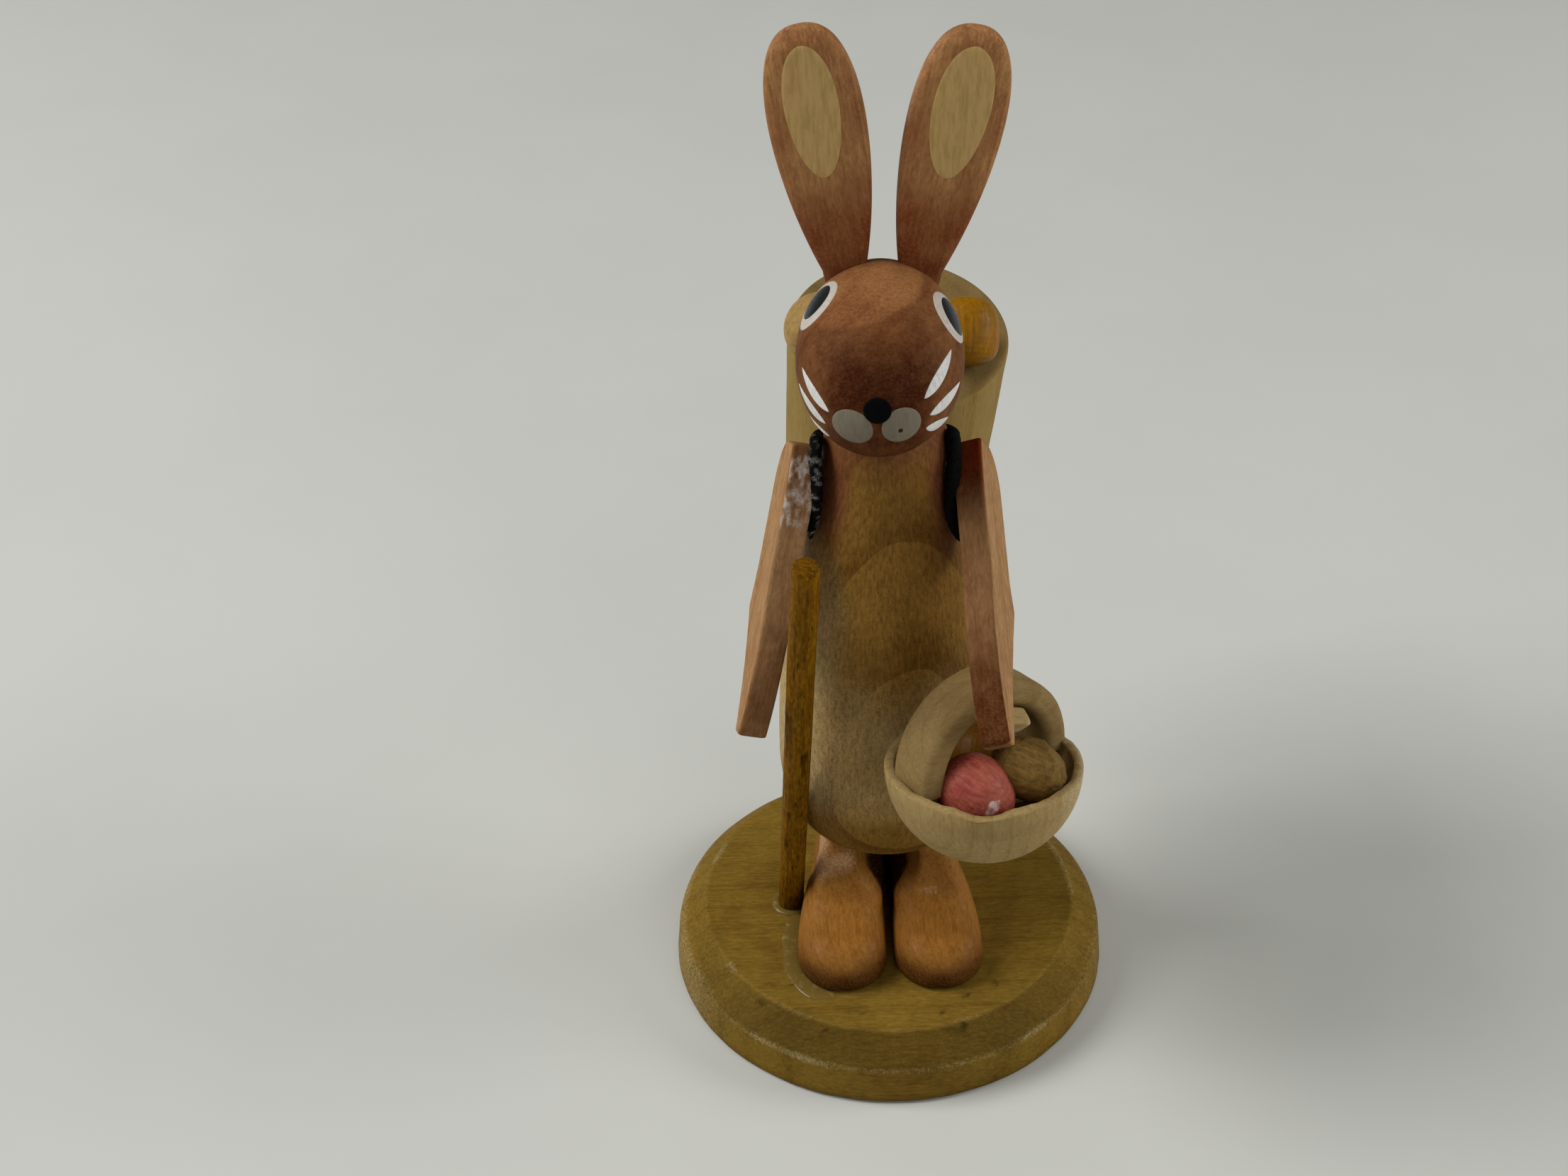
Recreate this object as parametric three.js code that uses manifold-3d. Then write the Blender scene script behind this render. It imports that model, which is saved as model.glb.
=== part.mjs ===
// Wooden hare on a round base, with a pannier of eggs, a walking stick and a hand basket of eggs.
// Millimetres, +Z up, the base rests on Z = 0 and the hare faces -Y. Left and right are the viewer's.
import * as THREE from 'three';
import { mergeVertices } from 'three/addons/utils/BufferGeometryUtils.js';
import Module from 'manifold-3d';

// Glue line between pieces that touch
const GAP = 0.3;

// Base disc with a wide chamfer round its top
const BASE_R = 33.6;
const BASE_H = 10.7;
const BASE_CHAMFER = 4.3;
const BASE_EDGE = 0.6;
const DOWEL_IN_BASE = 6;

// Slipper-shaped feet, each one piece with its leg
const FOOT_L = 28.5;
const FOOT_W = 13.6;
const HEEL_W = 9.4;
const TOE_H = 6.6;
const INSTEP_H = 9.4;
const TOE_ROUND = 9;
const FOOT_FULLNESS = 0.75;
const TOE_REACH = 24;
const FEET_APART = 1.4;
const FEET_MID_X = -0.4;
const LEG_W = 8.9;
const LEG_D = 11.5;
const LEG_H = 17.3;
const LEG_BACK = 4.9;
const LEG_CORNER = 1.6;
const LEG_DOWEL_R = 2.5;
const LEG_DOWEL_IN_BODY = 10;

// Turned bullet-shaped body
const BODY_X = -0.5;
const BODY_Y = 2.7;
const BODY_FOOT_R = 11.2;
const BODY_R = 15.9;
const BODY_BELLY_H = 12;
const BODY_SHOULDER_R = 8.9;
const BODY_SHOULDER_H = 64.5;
const BODY_H = 72;
const BODY_TOP_R = 3.5;
const BODY_FULL_LOW = 0.42;
const BODY_FULL_HIGH = 0.72;

// Egg-shaped head lying forward on the body, with the dowel that holds it
const HEAD_R = 11;
const HEAD_HALF_L = 14.8;
const HEAD_TAPER = 0.08;
const HEAD_NOD = 15;
const HEAD_SIDE = -0.8;
const HEAD_FORWARD = 4.2;
const HEAD_OVER = 10;
const NECK_DOWEL_R = 2.5;
const NECK_DOWEL_DOWN = 10;
const NECK_DOWEL_UP = 7;

// Flat ears with a round tenon each
const EAR_L = 34;
const EAR_ROOT_W = 6;
const EAR_LOW_W = 13.6;
const EAR_HIGH_W = 17.8;
const EAR_T = 3.6;
const EAR_SINK = 2.5;
const EAR_TENON_R = 1.3;
const EAR_TENON_L = 5;
const EAR_LEAN = 4;
const EAR_BACK = 6;
const EAR_LEFT = { aside: -4.6, over: 10, splay: -9.3 };
const EAR_RIGHT = { aside: 5.4, over: 9.5, splay: 11.9 };

// Sawn board arms, doweled to the shoulders
const ARM_L = 41.5;
const ARM_T = 4;
const ARM_EDGE = 0.4;
const SHOULDER_W = 7.9;
const ELBOW_W = 8.7;
const ELBOW_AT = 24.6;
const HAND_W = 2.6;
const ARM_BOW = 1.8;
const ARM_PIVOT_ALONG = 3.8;
const ARM_PIVOT_ACROSS = 4.6;
const ARM_DOWEL_R = 1.5;
const ARM_DOWEL_IN_BODY = 6;
const ARM_DOWEL_IN_ARM = 2.4;
const ARM_LEFT = { side: -1, height: 62.1, azimuth: 5, splay: 2.6, swing: 24 };
const ARM_RIGHT = { side: 1, height: 60.6, azimuth: 10.2, splay: 7.5, swing: 46 };

// Walking stick in a blind hole beside the left foot
const STICK_R = 1.95;
const STICK_X = -15.4;
const STICK_Y = -1.2;
const STICK_L = 86;
const STICK_IN_BASE = 3;
const STICK_INWARD = 2.2;
const STICK_EDGE = 0.5;

// Solid turned pannier lying against the back, with eggs on its flat top
const PANNIER_R = 16.1;
const PANNIER_FOOT_R = 14.9;
const PANNIER_L = 36;
const PANNIER_EDGE = 0.6;
const PANNIER_LEAN = 12.7;
const PANNIER_TILT = 3.3;
const PANNIER_SIDE = 3;
const PANNIER_RIM_H = 69.4;
const PANNIER_SEAT = 0.55;
const PANNIER_DOWEL_R = 2.5;
const PANNIER_DOWEL_H = 48;
const PANNIER_DOWEL_IN = 9;

// Shoulder straps of round cord
const STRAP_R = 1;
const STRAP_SIDES = 8;
const STRAP_STEPS = 20;
const STRAP_LEFT = [[67.6, -112], [68.8, -90], [67.6, -71], [64.6, -66], [60.5, -62], [56.5, -61], [53, -62]];
const STRAP_RIGHT = [[67.6, 112], [68.8, 88], [67.6, 64], [64.6, 50], [60.8, 45], [57, 46], [54, 48]];
const STRAP_END_X = 6;

// Hand basket: a turned bowl under a bent hoop, hung from a peg in the right hand
const BOWL_R = 13.7;
const BOWL_WALL = 1.1;
const BOWL_HOLLOW = 7.2;
const BOWL_TIP_BACK = 10;
const HOOP_W = 5.6;
const HOOP_T = 2.4;
const HOOP_DEPTH = 1;
const HOOP_RISE = 13.6;
const HOOP_TURN = 20;
const HOOP_EDGE = 0.4;
const HANG_FROM_HAND = 8;
const HANG_SIDE = 0.9;
const HANG_GAP = 1.6;
const PEG_R = 1.5;
const PEG_ANGLE = 33;
const PEG_IN_HAND = 1.6;
const PEG_PAST_HOOP = 1.5;

// Painted eggs, short and long diameter, and where each lies: shares of the seat's radius, lean and heading
const PANNIER_EGG = { short: 9.8, long: 11.4 };
const BASKET_EGG = { short: 8.4, long: 10 };
const EGG_TAPER = 0.1;
const PANNIER_SPOT_YELLOW = { x: 0.56, y: -0.36, lean: 78, heading: 20 };
const PANNIER_SPOT_CREAM = { x: -0.75, y: -0.34, lean: 80, heading: -25 };
const PANNIER_SPOT_RED = { x: -0.09, y: -0.05, lean: 85, heading: 10 };
const BASKET_SPOT_RED = { x: -0.26, y: -0.23, lean: 80, heading: 20 };
const BASKET_SPOT_BROWN = { x: 0.43, y: -0.38, lean: 88, heading: 42 };
const BASKET_SPOT_YELLOW = { x: 0.1, y: 0.5, lean: 85, heading: 75 };

const wasm = await Module();
wasm.setup();
const rad = THREE.MathUtils.degToRad;
const UP = new THREE.Vector3(0, 0, 1);

// Places that follow from the sizes above
const BODY_Z = BASE_H + LEG_H;
const BODY_RISE = BODY_SHOULDER_H - BODY_BELLY_H;
const TOE_Y = BODY_Y - TOE_REACH;
const LEG_BACK_Y = BODY_Y + LEG_BACK;
const HEAD_X = BODY_X + HEAD_SIDE;
const HEAD_Y = BODY_Y - HEAD_FORWARD;
const HEAD_Z = BODY_Z + BODY_H + HEAD_OVER;
const HANG_ALONG = ARM_L - HANG_FROM_HAND;
const BOWL_IN = BOWL_R - BOWL_WALL;

// Closed solid from a surface with shared corners
function solid(geometry) {
  const bare = geometry.clone();
  bare.deleteAttribute('normal');
  bare.deleteAttribute('uv');
  const shared = mergeVertices(bare, 1e-4);
  const corners = shared.index.array;
  const kept = [];
  for (let i = 0; i < corners.length; i += 3) {
    const [a, b, c] = [corners[i], corners[i + 1], corners[i + 2]];
    if (a !== b && b !== c && a !== c) kept.push(a, b, c);
  }
  const vertProperties = new Float32Array(shared.attributes.position.array);
  return new wasm.Manifold(new wasm.Mesh({ numProp: 3, vertProperties, triVerts: new Uint32Array(kept) }));
}

// Surface of revolution about Z from radius and height pairs, bottom to top
function turned(profile, segments) {
  const points = profile.map(([r, h]) => new THREE.Vector2(Math.max(r, 0), h));
  return new THREE.LatheGeometry(points, segments).rotateX(Math.PI / 2);
}

// Round bar between two points
function rod(radius, from, to, segments = 20) {
  const axis = new THREE.Vector3().subVectors(to, from);
  const bar = new THREE.CylinderGeometry(radius, radius, axis.length(), segments);
  const upright = new THREE.Vector3(0, 1, 0);
  const turn = new THREE.Quaternion().setFromUnitVectors(upright, axis.clone().normalize());
  const middle = new THREE.Vector3().addVectors(from, to).multiplyScalar(0.5);
  return bar.applyQuaternion(turn).translate(middle.x, middle.y, middle.z);
}

// Piece with each of the cutters taken off
function cutFrom(piece, cutters) {
  return cutters.reduce((whole, cutter) => whole.subtract(cutter), piece);
}

// Dowel and the bore it sits in
function dowel(radius, from, to) {
  const reach = new THREE.Vector3().subVectors(to, from).normalize().multiplyScalar(GAP);
  const bore = rod(radius + GAP, from.clone().sub(reach), to.clone().add(reach));
  return { bar: solid(rod(radius, from, to)), bore: solid(bore) };
}

// Flat board sawn to an outline, with eased edges, lying on Z = 0
function board(shape, thickness, edge, grow = 0) {
  const cut = new THREE.ExtrudeGeometry(shape, {
    depth: thickness - 2 * edge,
    bevelThickness: edge + grow,
    bevelSize: edge,
    bevelOffset: grow - edge,
    bevelSegments: 2,
    curveSegments: 7,
  });
  return cut.translate(0, 0, edge);
}

// Closed skin through a row of rings that all have the same number of points
function skin(rings) {
  const count = rings[0].length;
  const points = rings.flat();
  const faces = [];
  for (let i = 0; i + 1 < rings.length; i += 1) {
    for (let k = 0; k < count; k += 1) {
      const a = i * count + k;
      const b = i * count + (k + 1) % count;
      faces.push(a, b, b + count, a, b + count, a + count);
    }
  }
  const last = (rings.length - 1) * count;
  for (let k = 1; k + 1 < count; k += 1) {
    faces.push(0, k + 1, k, last, last + k, last + k + 1);
  }
  const geometry = new THREE.BufferGeometry().setFromPoints(points);
  geometry.setIndex(faces);
  return geometry;
}

// Egg with its blunt end down, standing on its centre
function egg({ short, long }, grow = 0) {
  const rows = 10;
  const profile = [];
  for (let i = 0; i <= rows; i += 1) {
    const t = Math.PI * i / rows;
    const round = Math.sin(t) * (1 + EGG_TAPER * Math.cos(t));
    profile.push([(short / 2 + grow) * round, -(long / 2 + grow) * Math.cos(t)]);
  }
  profile[0][0] = 0;
  profile[rows][0] = 0;
  return turned(profile, 16);
}

// Radius of the body's outline against height over its underside
const belly = new THREE.CubicBezierCurve(
  new THREE.Vector2(BODY_R, BODY_BELLY_H),
  new THREE.Vector2(BODY_R, BODY_BELLY_H + BODY_FULL_LOW * BODY_RISE),
  new THREE.Vector2(0.5 * (BODY_R + BODY_SHOULDER_R), BODY_BELLY_H + BODY_FULL_HIGH * BODY_RISE),
  new THREE.Vector2(BODY_SHOULDER_R, BODY_SHOULDER_H),
);
function bodyProfile(grow) {
  const rows = [[0, -grow], [BODY_FOOT_R + grow, -grow]];
  for (let i = 1; i < 6; i += 1) {
    const t = Math.PI / 2 * i / 6;
    const out = BODY_FOOT_R + (BODY_R - BODY_FOOT_R) * Math.sin(t);
    rows.push([out + grow, BODY_BELLY_H * (1 - Math.cos(t))]);
  }
  belly.getPoints(12).forEach((p) => rows.push([p.x + grow, p.y]));
  for (let i = 1; i < 5; i += 1) {
    const t = Math.PI / 2 * i / 4;
    const out = BODY_TOP_R + (BODY_SHOULDER_R - BODY_TOP_R) * Math.cos(t);
    rows.push([out + grow, BODY_SHOULDER_H + (BODY_H + grow - BODY_SHOULDER_H) * Math.sin(t)]);
  }
  rows.push([0, BODY_H + grow]);
  return rows;
}
function bodyRadius(z) {
  const rows = bodyProfile(0);
  const height = z - BODY_Z;
  const i = rows.findIndex((row, k) => k > 1 && row[1] >= height);
  if (i < 0) return BODY_TOP_R;
  const [low, high] = [rows[i - 1], rows[i]];
  return low[0] + (high[0] - low[0]) * (height - low[1]) / (high[1] - low[1]);
}

// Place on the body's skin: azimuth runs from the front towards the viewer's right
function onBody(z, azimuth, off) {
  const r = bodyRadius(z) + off;
  return new THREE.Vector3(BODY_X + r * Math.sin(rad(azimuth)), BODY_Y - r * Math.cos(rad(azimuth)), z);
}

// Arm outline: across runs to the rear edge, along runs from shoulder to hand
function armShape(mirror) {
  const shape = new THREE.Shape();
  const at = (across, along) => [mirror * across, along * ARM_L];
  shape.moveTo(...at(0.4, 0));
  shape.bezierCurveTo(...at(-0.9 * ARM_BOW, 0.18), ...at(-0.1 * ARM_BOW, 0.36), ...at(-0.8 * ARM_BOW, 0.53));
  shape.bezierCurveTo(...at(-1.4 * ARM_BOW, 0.68), ...at(-1.1 * ARM_BOW, 0.86), ...at(0, 1));
  shape.lineTo(...at(HAND_W, 1));
  shape.bezierCurveTo(
    ...at(HAND_W + 0.9, 0.88),
    ...at(0.4 * HAND_W + 0.4 * ELBOW_W, 0.76),
    ...at(ELBOW_W, ELBOW_AT / ARM_L),
  );
  shape.lineTo(...at(SHOULDER_W, 0.44));
  shape.lineTo(...at(SHOULDER_W, 0.17));
  shape.quadraticCurveTo(...at(SHOULDER_W, 0.01), ...at(0.4 * SHOULDER_W, 0));
  return shape;
}

// Directions of an arm's board and a function that places its points
function armFrame({ side, height, azimuth, splay }, swing) {
  const z = BODY_Z + height;
  const out = new THREE.Vector3(side * Math.cos(rad(azimuth)), -Math.sin(rad(azimuth)), 0);
  const contact = new THREE.Vector3(BODY_X, BODY_Y, z).addScaledVector(out, bodyRadius(z));
  const slope = Math.atan(0.5 * (bodyRadius(z - 1) - bodyRadius(z + 1))) + rad(splay);
  const normal = out.clone().multiplyScalar(Math.cos(slope)).addScaledVector(UP, Math.sin(slope));
  const forward = new THREE.Vector3().crossVectors(normal, UP).multiplyScalar(side).normalize();
  const rise = new THREE.Vector3().crossVectors(forward, normal).multiplyScalar(side);
  const along = forward.clone().multiplyScalar(Math.sin(rad(swing)));
  along.addScaledVector(rise, -Math.cos(rad(swing)));
  const across = forward.clone().multiplyScalar(-Math.cos(rad(swing)));
  across.addScaledVector(rise, -Math.sin(rad(swing)));
  const corner = contact.clone().addScaledVector(normal, GAP);
  corner.addScaledVector(along, -ARM_PIVOT_ALONG).addScaledVector(across, -ARM_PIVOT_ACROSS);
  const point = (u, v, n) => corner.clone()
    .addScaledVector(across, u).addScaledVector(along, v).addScaledVector(normal, n);
  const matrix = new THREE.Matrix4().makeBasis(across.clone().multiplyScalar(-side), along, normal);
  matrix.setPosition(corner);
  return { contact, normal, point, matrix, mirror: -side };
}
function arm(frame, grow) {
  return solid(board(armShape(frame.mirror), ARM_T, ARM_EDGE, grow).applyMatrix4(frame.matrix));
}

// Rear edge of the forearm, measured across the board
function rearEdge(alongMm) {
  const hit = armShape(1).getPoints(40).filter((p) => p.x > 1 && p.y >= ELBOW_AT);
  const near = hit.reduce((a, b) => (Math.abs(b.y - alongMm) < Math.abs(a.y - alongMm) ? b : a));
  return near.x;
}

// Hand basket hung under the right forearm. The arm swings forward until the bowl clears the body.
const bowlInAtFoot = BOWL_IN * Math.sqrt(1 - (HOOP_DEPTH / BOWL_HOLLOW) ** 2);
const HOOP_R = Math.sqrt(bowlInAtFoot ** 2 - (HOOP_W / 2) ** 2) - GAP;
const HOOP_MID = HOOP_RISE - HOOP_R;
const basketTilt = new THREE.Euler(rad(-BOWL_TIP_BACK), 0, rad(HOOP_TURN));
const basketTurn = new THREE.Quaternion().setFromEuler(basketTilt);
function basketPlace(swing) {
  const hand = armFrame(ARM_RIGHT, swing).point(rearEdge(HANG_ALONG) + HANG_GAP, HANG_ALONG, ARM_T / 2);
  const crown = HOOP_MID + Math.sqrt(HOOP_R ** 2 - HANG_SIDE ** 2);
  return hand.sub(new THREE.Vector3(HANG_SIDE, -HOOP_W / 2, crown).applyQuaternion(basketTurn));
}
function bowlClears(swing) {
  const place = basketPlace(swing);
  const reach = Math.hypot(place.x - BODY_X, place.y - BODY_Y);
  return reach >= bodyRadius(place.z) + BOWL_R + GAP;
}
let [still, swung] = [0, 85];
for (let i = 0; i < 30; i += 1) {
  const middle = 0.5 * (still + swung);
  if (bowlClears(middle)) swung = middle;
  else still = middle;
}
const rightSwing = Math.max(swung, ARM_RIGHT.swing);
const basketSpot = basketPlace(rightSwing);
const basket = new THREE.Matrix4().compose(basketSpot, basketTurn, new THREE.Vector3(1, 1, 1));
const inBasket = (x, y, z) => new THREE.Vector3(x, y, z).applyMatrix4(basket);

// Walking stick: leans forward just far enough to pass the body
const stickFoot = new THREE.Vector3(STICK_X, STICK_Y, BASE_H);
function stickAxis(lean) {
  return new THREE.Vector3(Math.tan(rad(STICK_INWARD)), -Math.tan(rad(lean)), 1).normalize();
}
function stickClears(lean) {
  const axis = stickAxis(lean);
  for (let z = BODY_Z; z < BODY_Z + BODY_SHOULDER_H; z += 1) {
    const p = stickFoot.clone().addScaledVector(axis, (z - BASE_H) / axis.z);
    if (Math.hypot(p.x - BODY_X, p.y - BODY_Y) < bodyRadius(z) + STICK_R + GAP) return false;
  }
  return true;
}
let stickLean = 8;
while (stickLean < 40 && !stickClears(stickLean)) stickLean += 0.1;
const stickAlong = stickAxis(stickLean);
const stickTurn = new THREE.Quaternion().setFromUnitVectors(UP, stickAlong);
function stick(grow) {
  const bar = turned([
    [0, -STICK_IN_BASE - grow],
    [STICK_R + grow, -STICK_IN_BASE - grow],
    [STICK_R + grow, STICK_L - STICK_EDGE],
    [STICK_R - STICK_EDGE + grow, STICK_L + grow],
    [0, STICK_L + grow],
  ], 24);
  return solid(bar.applyQuaternion(stickTurn).translate(STICK_X, STICK_Y, BASE_H));
}

// Foot with its leg; side is -1 for the left one
function foot(side) {
  const inner = FEET_MID_X + side * FEET_APART / 2;
  const rings = [];
  const stations = 16;
  const around = 16;
  for (let i = 0; i <= stations; i += 1) {
    const back = FOOT_L * (1 - Math.cos(Math.PI * (0.06 + 0.9 * i / stations))) / 2;
    const toe = Math.min(back / TOE_ROUND, 1);
    const heel = Math.min((FOOT_L - back) / (0.3 * FOOT_L), 1);
    const taper = THREE.MathUtils.smoothstep(back, 0.3 * FOOT_L, 0.75 * FOOT_L);
    const width = THREE.MathUtils.lerp(FOOT_W, HEEL_W, taper);
    const lift = THREE.MathUtils.smoothstep(back, 0.25 * FOOT_L, 0.62 * FOOT_L);
    const round = Math.sqrt(1 - (1 - toe) ** 2) * Math.sqrt(1 - (1 - heel) ** 2);
    const height = THREE.MathUtils.lerp(TOE_H, INSTEP_H, lift) * (0.25 + 0.75 * round);
    const ring = [];
    for (let k = 0; k <= around; k += 1) {
      const t = Math.PI * k / around;
      const aside = Math.sign(Math.cos(t)) * Math.abs(Math.cos(t)) ** FOOT_FULLNESS;
      const x = inner + side * width / 2 * (1 + round * aside);
      const z = BASE_H + GAP + height * Math.sin(t) ** FOOT_FULLNESS;
      ring.push(new THREE.Vector3(x, TOE_Y + back, z));
    }
    rings.push(side > 0 ? ring.reverse() : ring);
  }
  const leg = new THREE.Shape();
  const [left, right] = side > 0 ? [inner, inner + LEG_W] : [inner - LEG_W, inner];
  const [front, rear] = [LEG_BACK_Y - LEG_D, LEG_BACK_Y];
  leg.moveTo(left + LEG_CORNER, front);
  leg.lineTo(right - LEG_CORNER, front);
  leg.lineTo(right, front + LEG_CORNER);
  leg.lineTo(right, rear - LEG_CORNER);
  leg.lineTo(right - LEG_CORNER, rear);
  leg.lineTo(left + LEG_CORNER, rear);
  leg.lineTo(left, rear - LEG_CORNER);
  leg.lineTo(left, front + LEG_CORNER);
  const bottom = BASE_H + GAP;
  const post = new THREE.ExtrudeGeometry(leg, { depth: BODY_Z - GAP - bottom, bevelEnabled: false });
  return solid(skin(rings)).add(solid(post.translate(0, 0, bottom)));
}

// Base, feet and the dowels that pin them to the body
const baseTurned = solid(turned([
  [0, 0],
  [BASE_R - BASE_EDGE, 0],
  [BASE_R, BASE_EDGE],
  [BASE_R - BASE_EDGE, BASE_H - BASE_CHAMFER],
  [BASE_R - BASE_EDGE - BASE_CHAMFER, BASE_H],
  [0, BASE_H],
], 72));
const legDowelY = LEG_BACK_Y - LEG_D / 2;
function legDowel(side) {
  const x = FEET_MID_X + side * (FEET_APART + LEG_W) / 2;
  const from = new THREE.Vector3(x, legDowelY, BASE_H - DOWEL_IN_BASE);
  return dowel(LEG_DOWEL_R, from, new THREE.Vector3(x, legDowelY, BODY_Z + LEG_DOWEL_IN_BODY));
}
const legDowelLeft = legDowel(-1);
const legDowelRight = legDowel(1);
const footLeft = foot(-1).subtract(legDowelLeft.bore);
const footRight = foot(1).subtract(legDowelRight.bore);
const base = baseTurned.subtract(legDowelLeft.bore).subtract(legDowelRight.bore).subtract(stick(GAP));

// Head and ears
function headEgg(grow) {
  const rows = 16;
  const profile = [];
  for (let i = 0; i <= rows; i += 1) {
    const t = Math.PI * i / rows;
    const round = Math.sin(t) * (1 + HEAD_TAPER * Math.cos(t));
    profile.push([(HEAD_R + grow) * round, -(HEAD_HALF_L + grow) * Math.cos(t)]);
  }
  profile[0][0] = 0;
  profile[rows][0] = 0;
  const nose = turned(profile, 32).rotateX(rad(90 + HEAD_NOD));
  return solid(nose.translate(HEAD_X, HEAD_Y, HEAD_Z));
}
const headGrown = headEgg(GAP);
const neckX = 0.5 * (BODY_X + HEAD_X);
const neckY = 0.6 * BODY_Y + 0.4 * HEAD_Y;
const neckTop = BODY_Z + BODY_H;
const neckDowel = dowel(
  NECK_DOWEL_R,
  new THREE.Vector3(neckX, neckY, neckTop - NECK_DOWEL_DOWN),
  new THREE.Vector3(neckX, neckY, neckTop + NECK_DOWEL_UP),
);
function ear({ aside, over, splay }) {
  const shape = new THREE.Shape();
  shape.moveTo(EAR_ROOT_W / 2, 0);
  shape.bezierCurveTo(EAR_LOW_W / 2, 0.36 * EAR_L, EAR_HIGH_W / 2, EAR_L, 0, EAR_L);
  shape.bezierCurveTo(-EAR_HIGH_W / 2, EAR_L, -EAR_LOW_W / 2, 0.36 * EAR_L, -EAR_ROOT_W / 2, 0);
  shape.lineTo(-EAR_ROOT_W / 2, -EAR_SINK);
  shape.lineTo(EAR_ROOT_W / 2, -EAR_SINK);
  const blade = board(shape, EAR_T, EAR_T / 3).translate(0, 0, -EAR_T / 2).rotateX(Math.PI / 2);
  const pose = new THREE.Matrix4().makeRotationFromEuler(new THREE.Euler(rad(-EAR_LEAN), rad(splay), 0));
  pose.setPosition(HEAD_X + aside, HEAD_Y + EAR_BACK, HEAD_Z + over);
  const spot = (h) => new THREE.Vector3(0, 0, h).applyMatrix4(pose);
  const tenon = dowel(EAR_TENON_R, spot(-EAR_TENON_L), spot(EAR_TENON_L));
  const piece = solid(blade.applyMatrix4(pose)).subtract(headGrown).add(tenon.bar);
  return { piece, bore: tenon.bore };
}
const earLeft = ear(EAR_LEFT);
const earRight = ear(EAR_RIGHT);
const head = headEgg(0).subtract(neckDowel.bore).subtract(earLeft.bore).subtract(earRight.bore);

// Arms, their dowels and the peg in the right hand
const frameLeft = armFrame(ARM_LEFT, ARM_LEFT.swing);
const frameRight = armFrame(ARM_RIGHT, rightSwing);
function armDowel({ contact, normal }) {
  const from = contact.clone().addScaledVector(normal, -ARM_DOWEL_IN_BODY);
  return dowel(ARM_DOWEL_R, from, contact.clone().addScaledVector(normal, GAP + ARM_DOWEL_IN_ARM));
}
const armDowelLeft = armDowel(frameLeft);
const armDowelRight = armDowel(frameRight);
const pegRadius = HOOP_R - HOOP_T - PEG_R - GAP;
const pegFront = inBasket(
  pegRadius * Math.sin(rad(PEG_ANGLE)),
  -HOOP_W / 2,
  HOOP_MID + pegRadius * Math.cos(rad(PEG_ANGLE)),
);
const pegHand = frameRight.point(HAND_W / 2, ARM_L - HAND_W, ARM_T / 2);
const pegAim = new THREE.Vector3().subVectors(pegFront, pegHand).normalize();
const peg = dowel(
  PEG_R,
  pegHand.clone().addScaledVector(pegAim, -PEG_IN_HAND),
  pegFront.clone().addScaledVector(pegAim, PEG_PAST_HOOP),
);

// Turned body with seats for the head, the arms and the dowels
const bodyTurned = solid(turned(bodyProfile(0), 40).translate(BODY_X, BODY_Y, BODY_Z));
const bodyGrown = solid(turned(bodyProfile(GAP), 40).translate(BODY_X, BODY_Y, BODY_Z));

// Pannier, seated hollow against the back
const PANNIER_X = BODY_X + PANNIER_SIDE;
const PANNIER_Z = BODY_Z + PANNIER_RIM_H;
const pannierFrontZ = PANNIER_Z - PANNIER_R * Math.sin(rad(PANNIER_LEAN));
const pannierFrontY = BODY_Y + bodyRadius(pannierFrontZ) - PANNIER_SEAT;
const PANNIER_Y = pannierFrontY + PANNIER_R * Math.cos(rad(PANNIER_LEAN));
const pannierPose = new THREE.Matrix4().makeRotationFromEuler(
  new THREE.Euler(rad(PANNIER_LEAN), rad(PANNIER_TILT), 0),
);
pannierPose.setPosition(PANNIER_X, PANNIER_Y, PANNIER_Z);
const inPannier = (x, y, z) => new THREE.Vector3(x, y, z).applyMatrix4(pannierPose);
const pannierTurned = solid(turned([
  [0, -PANNIER_L],
  [PANNIER_FOOT_R - PANNIER_EDGE, -PANNIER_L],
  [PANNIER_FOOT_R, PANNIER_EDGE - PANNIER_L],
  [PANNIER_R, -PANNIER_EDGE],
  [PANNIER_R - PANNIER_EDGE, 0],
  [0, 0],
], 56).applyMatrix4(pannierPose));
const pannierGrown = solid(turned([
  [0, -PANNIER_L - GAP],
  [PANNIER_FOOT_R + GAP, -PANNIER_L - GAP],
  [PANNIER_R + GAP, GAP],
  [0, GAP],
], 56).applyMatrix4(pannierPose));
const pannierDowelZ = BODY_Z + PANNIER_DOWEL_H;
const backY = BODY_Y + bodyRadius(pannierDowelZ);
const pannierDowel = dowel(
  PANNIER_DOWEL_R,
  new THREE.Vector3(BODY_X, backY - PANNIER_DOWEL_IN, pannierDowelZ),
  new THREE.Vector3(BODY_X, backY + PANNIER_DOWEL_IN, pannierDowelZ),
);
const pannier = pannierTurned.subtract(bodyGrown).subtract(pannierDowel.bore);
const body = cutFrom(bodyTurned, [
  headGrown, arm(frameLeft, GAP), arm(frameRight, GAP),
  legDowelLeft.bore, legDowelRight.bore, neckDowel.bore,
  armDowelLeft.bore, armDowelRight.bore, pannierDowel.bore,
]);

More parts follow.
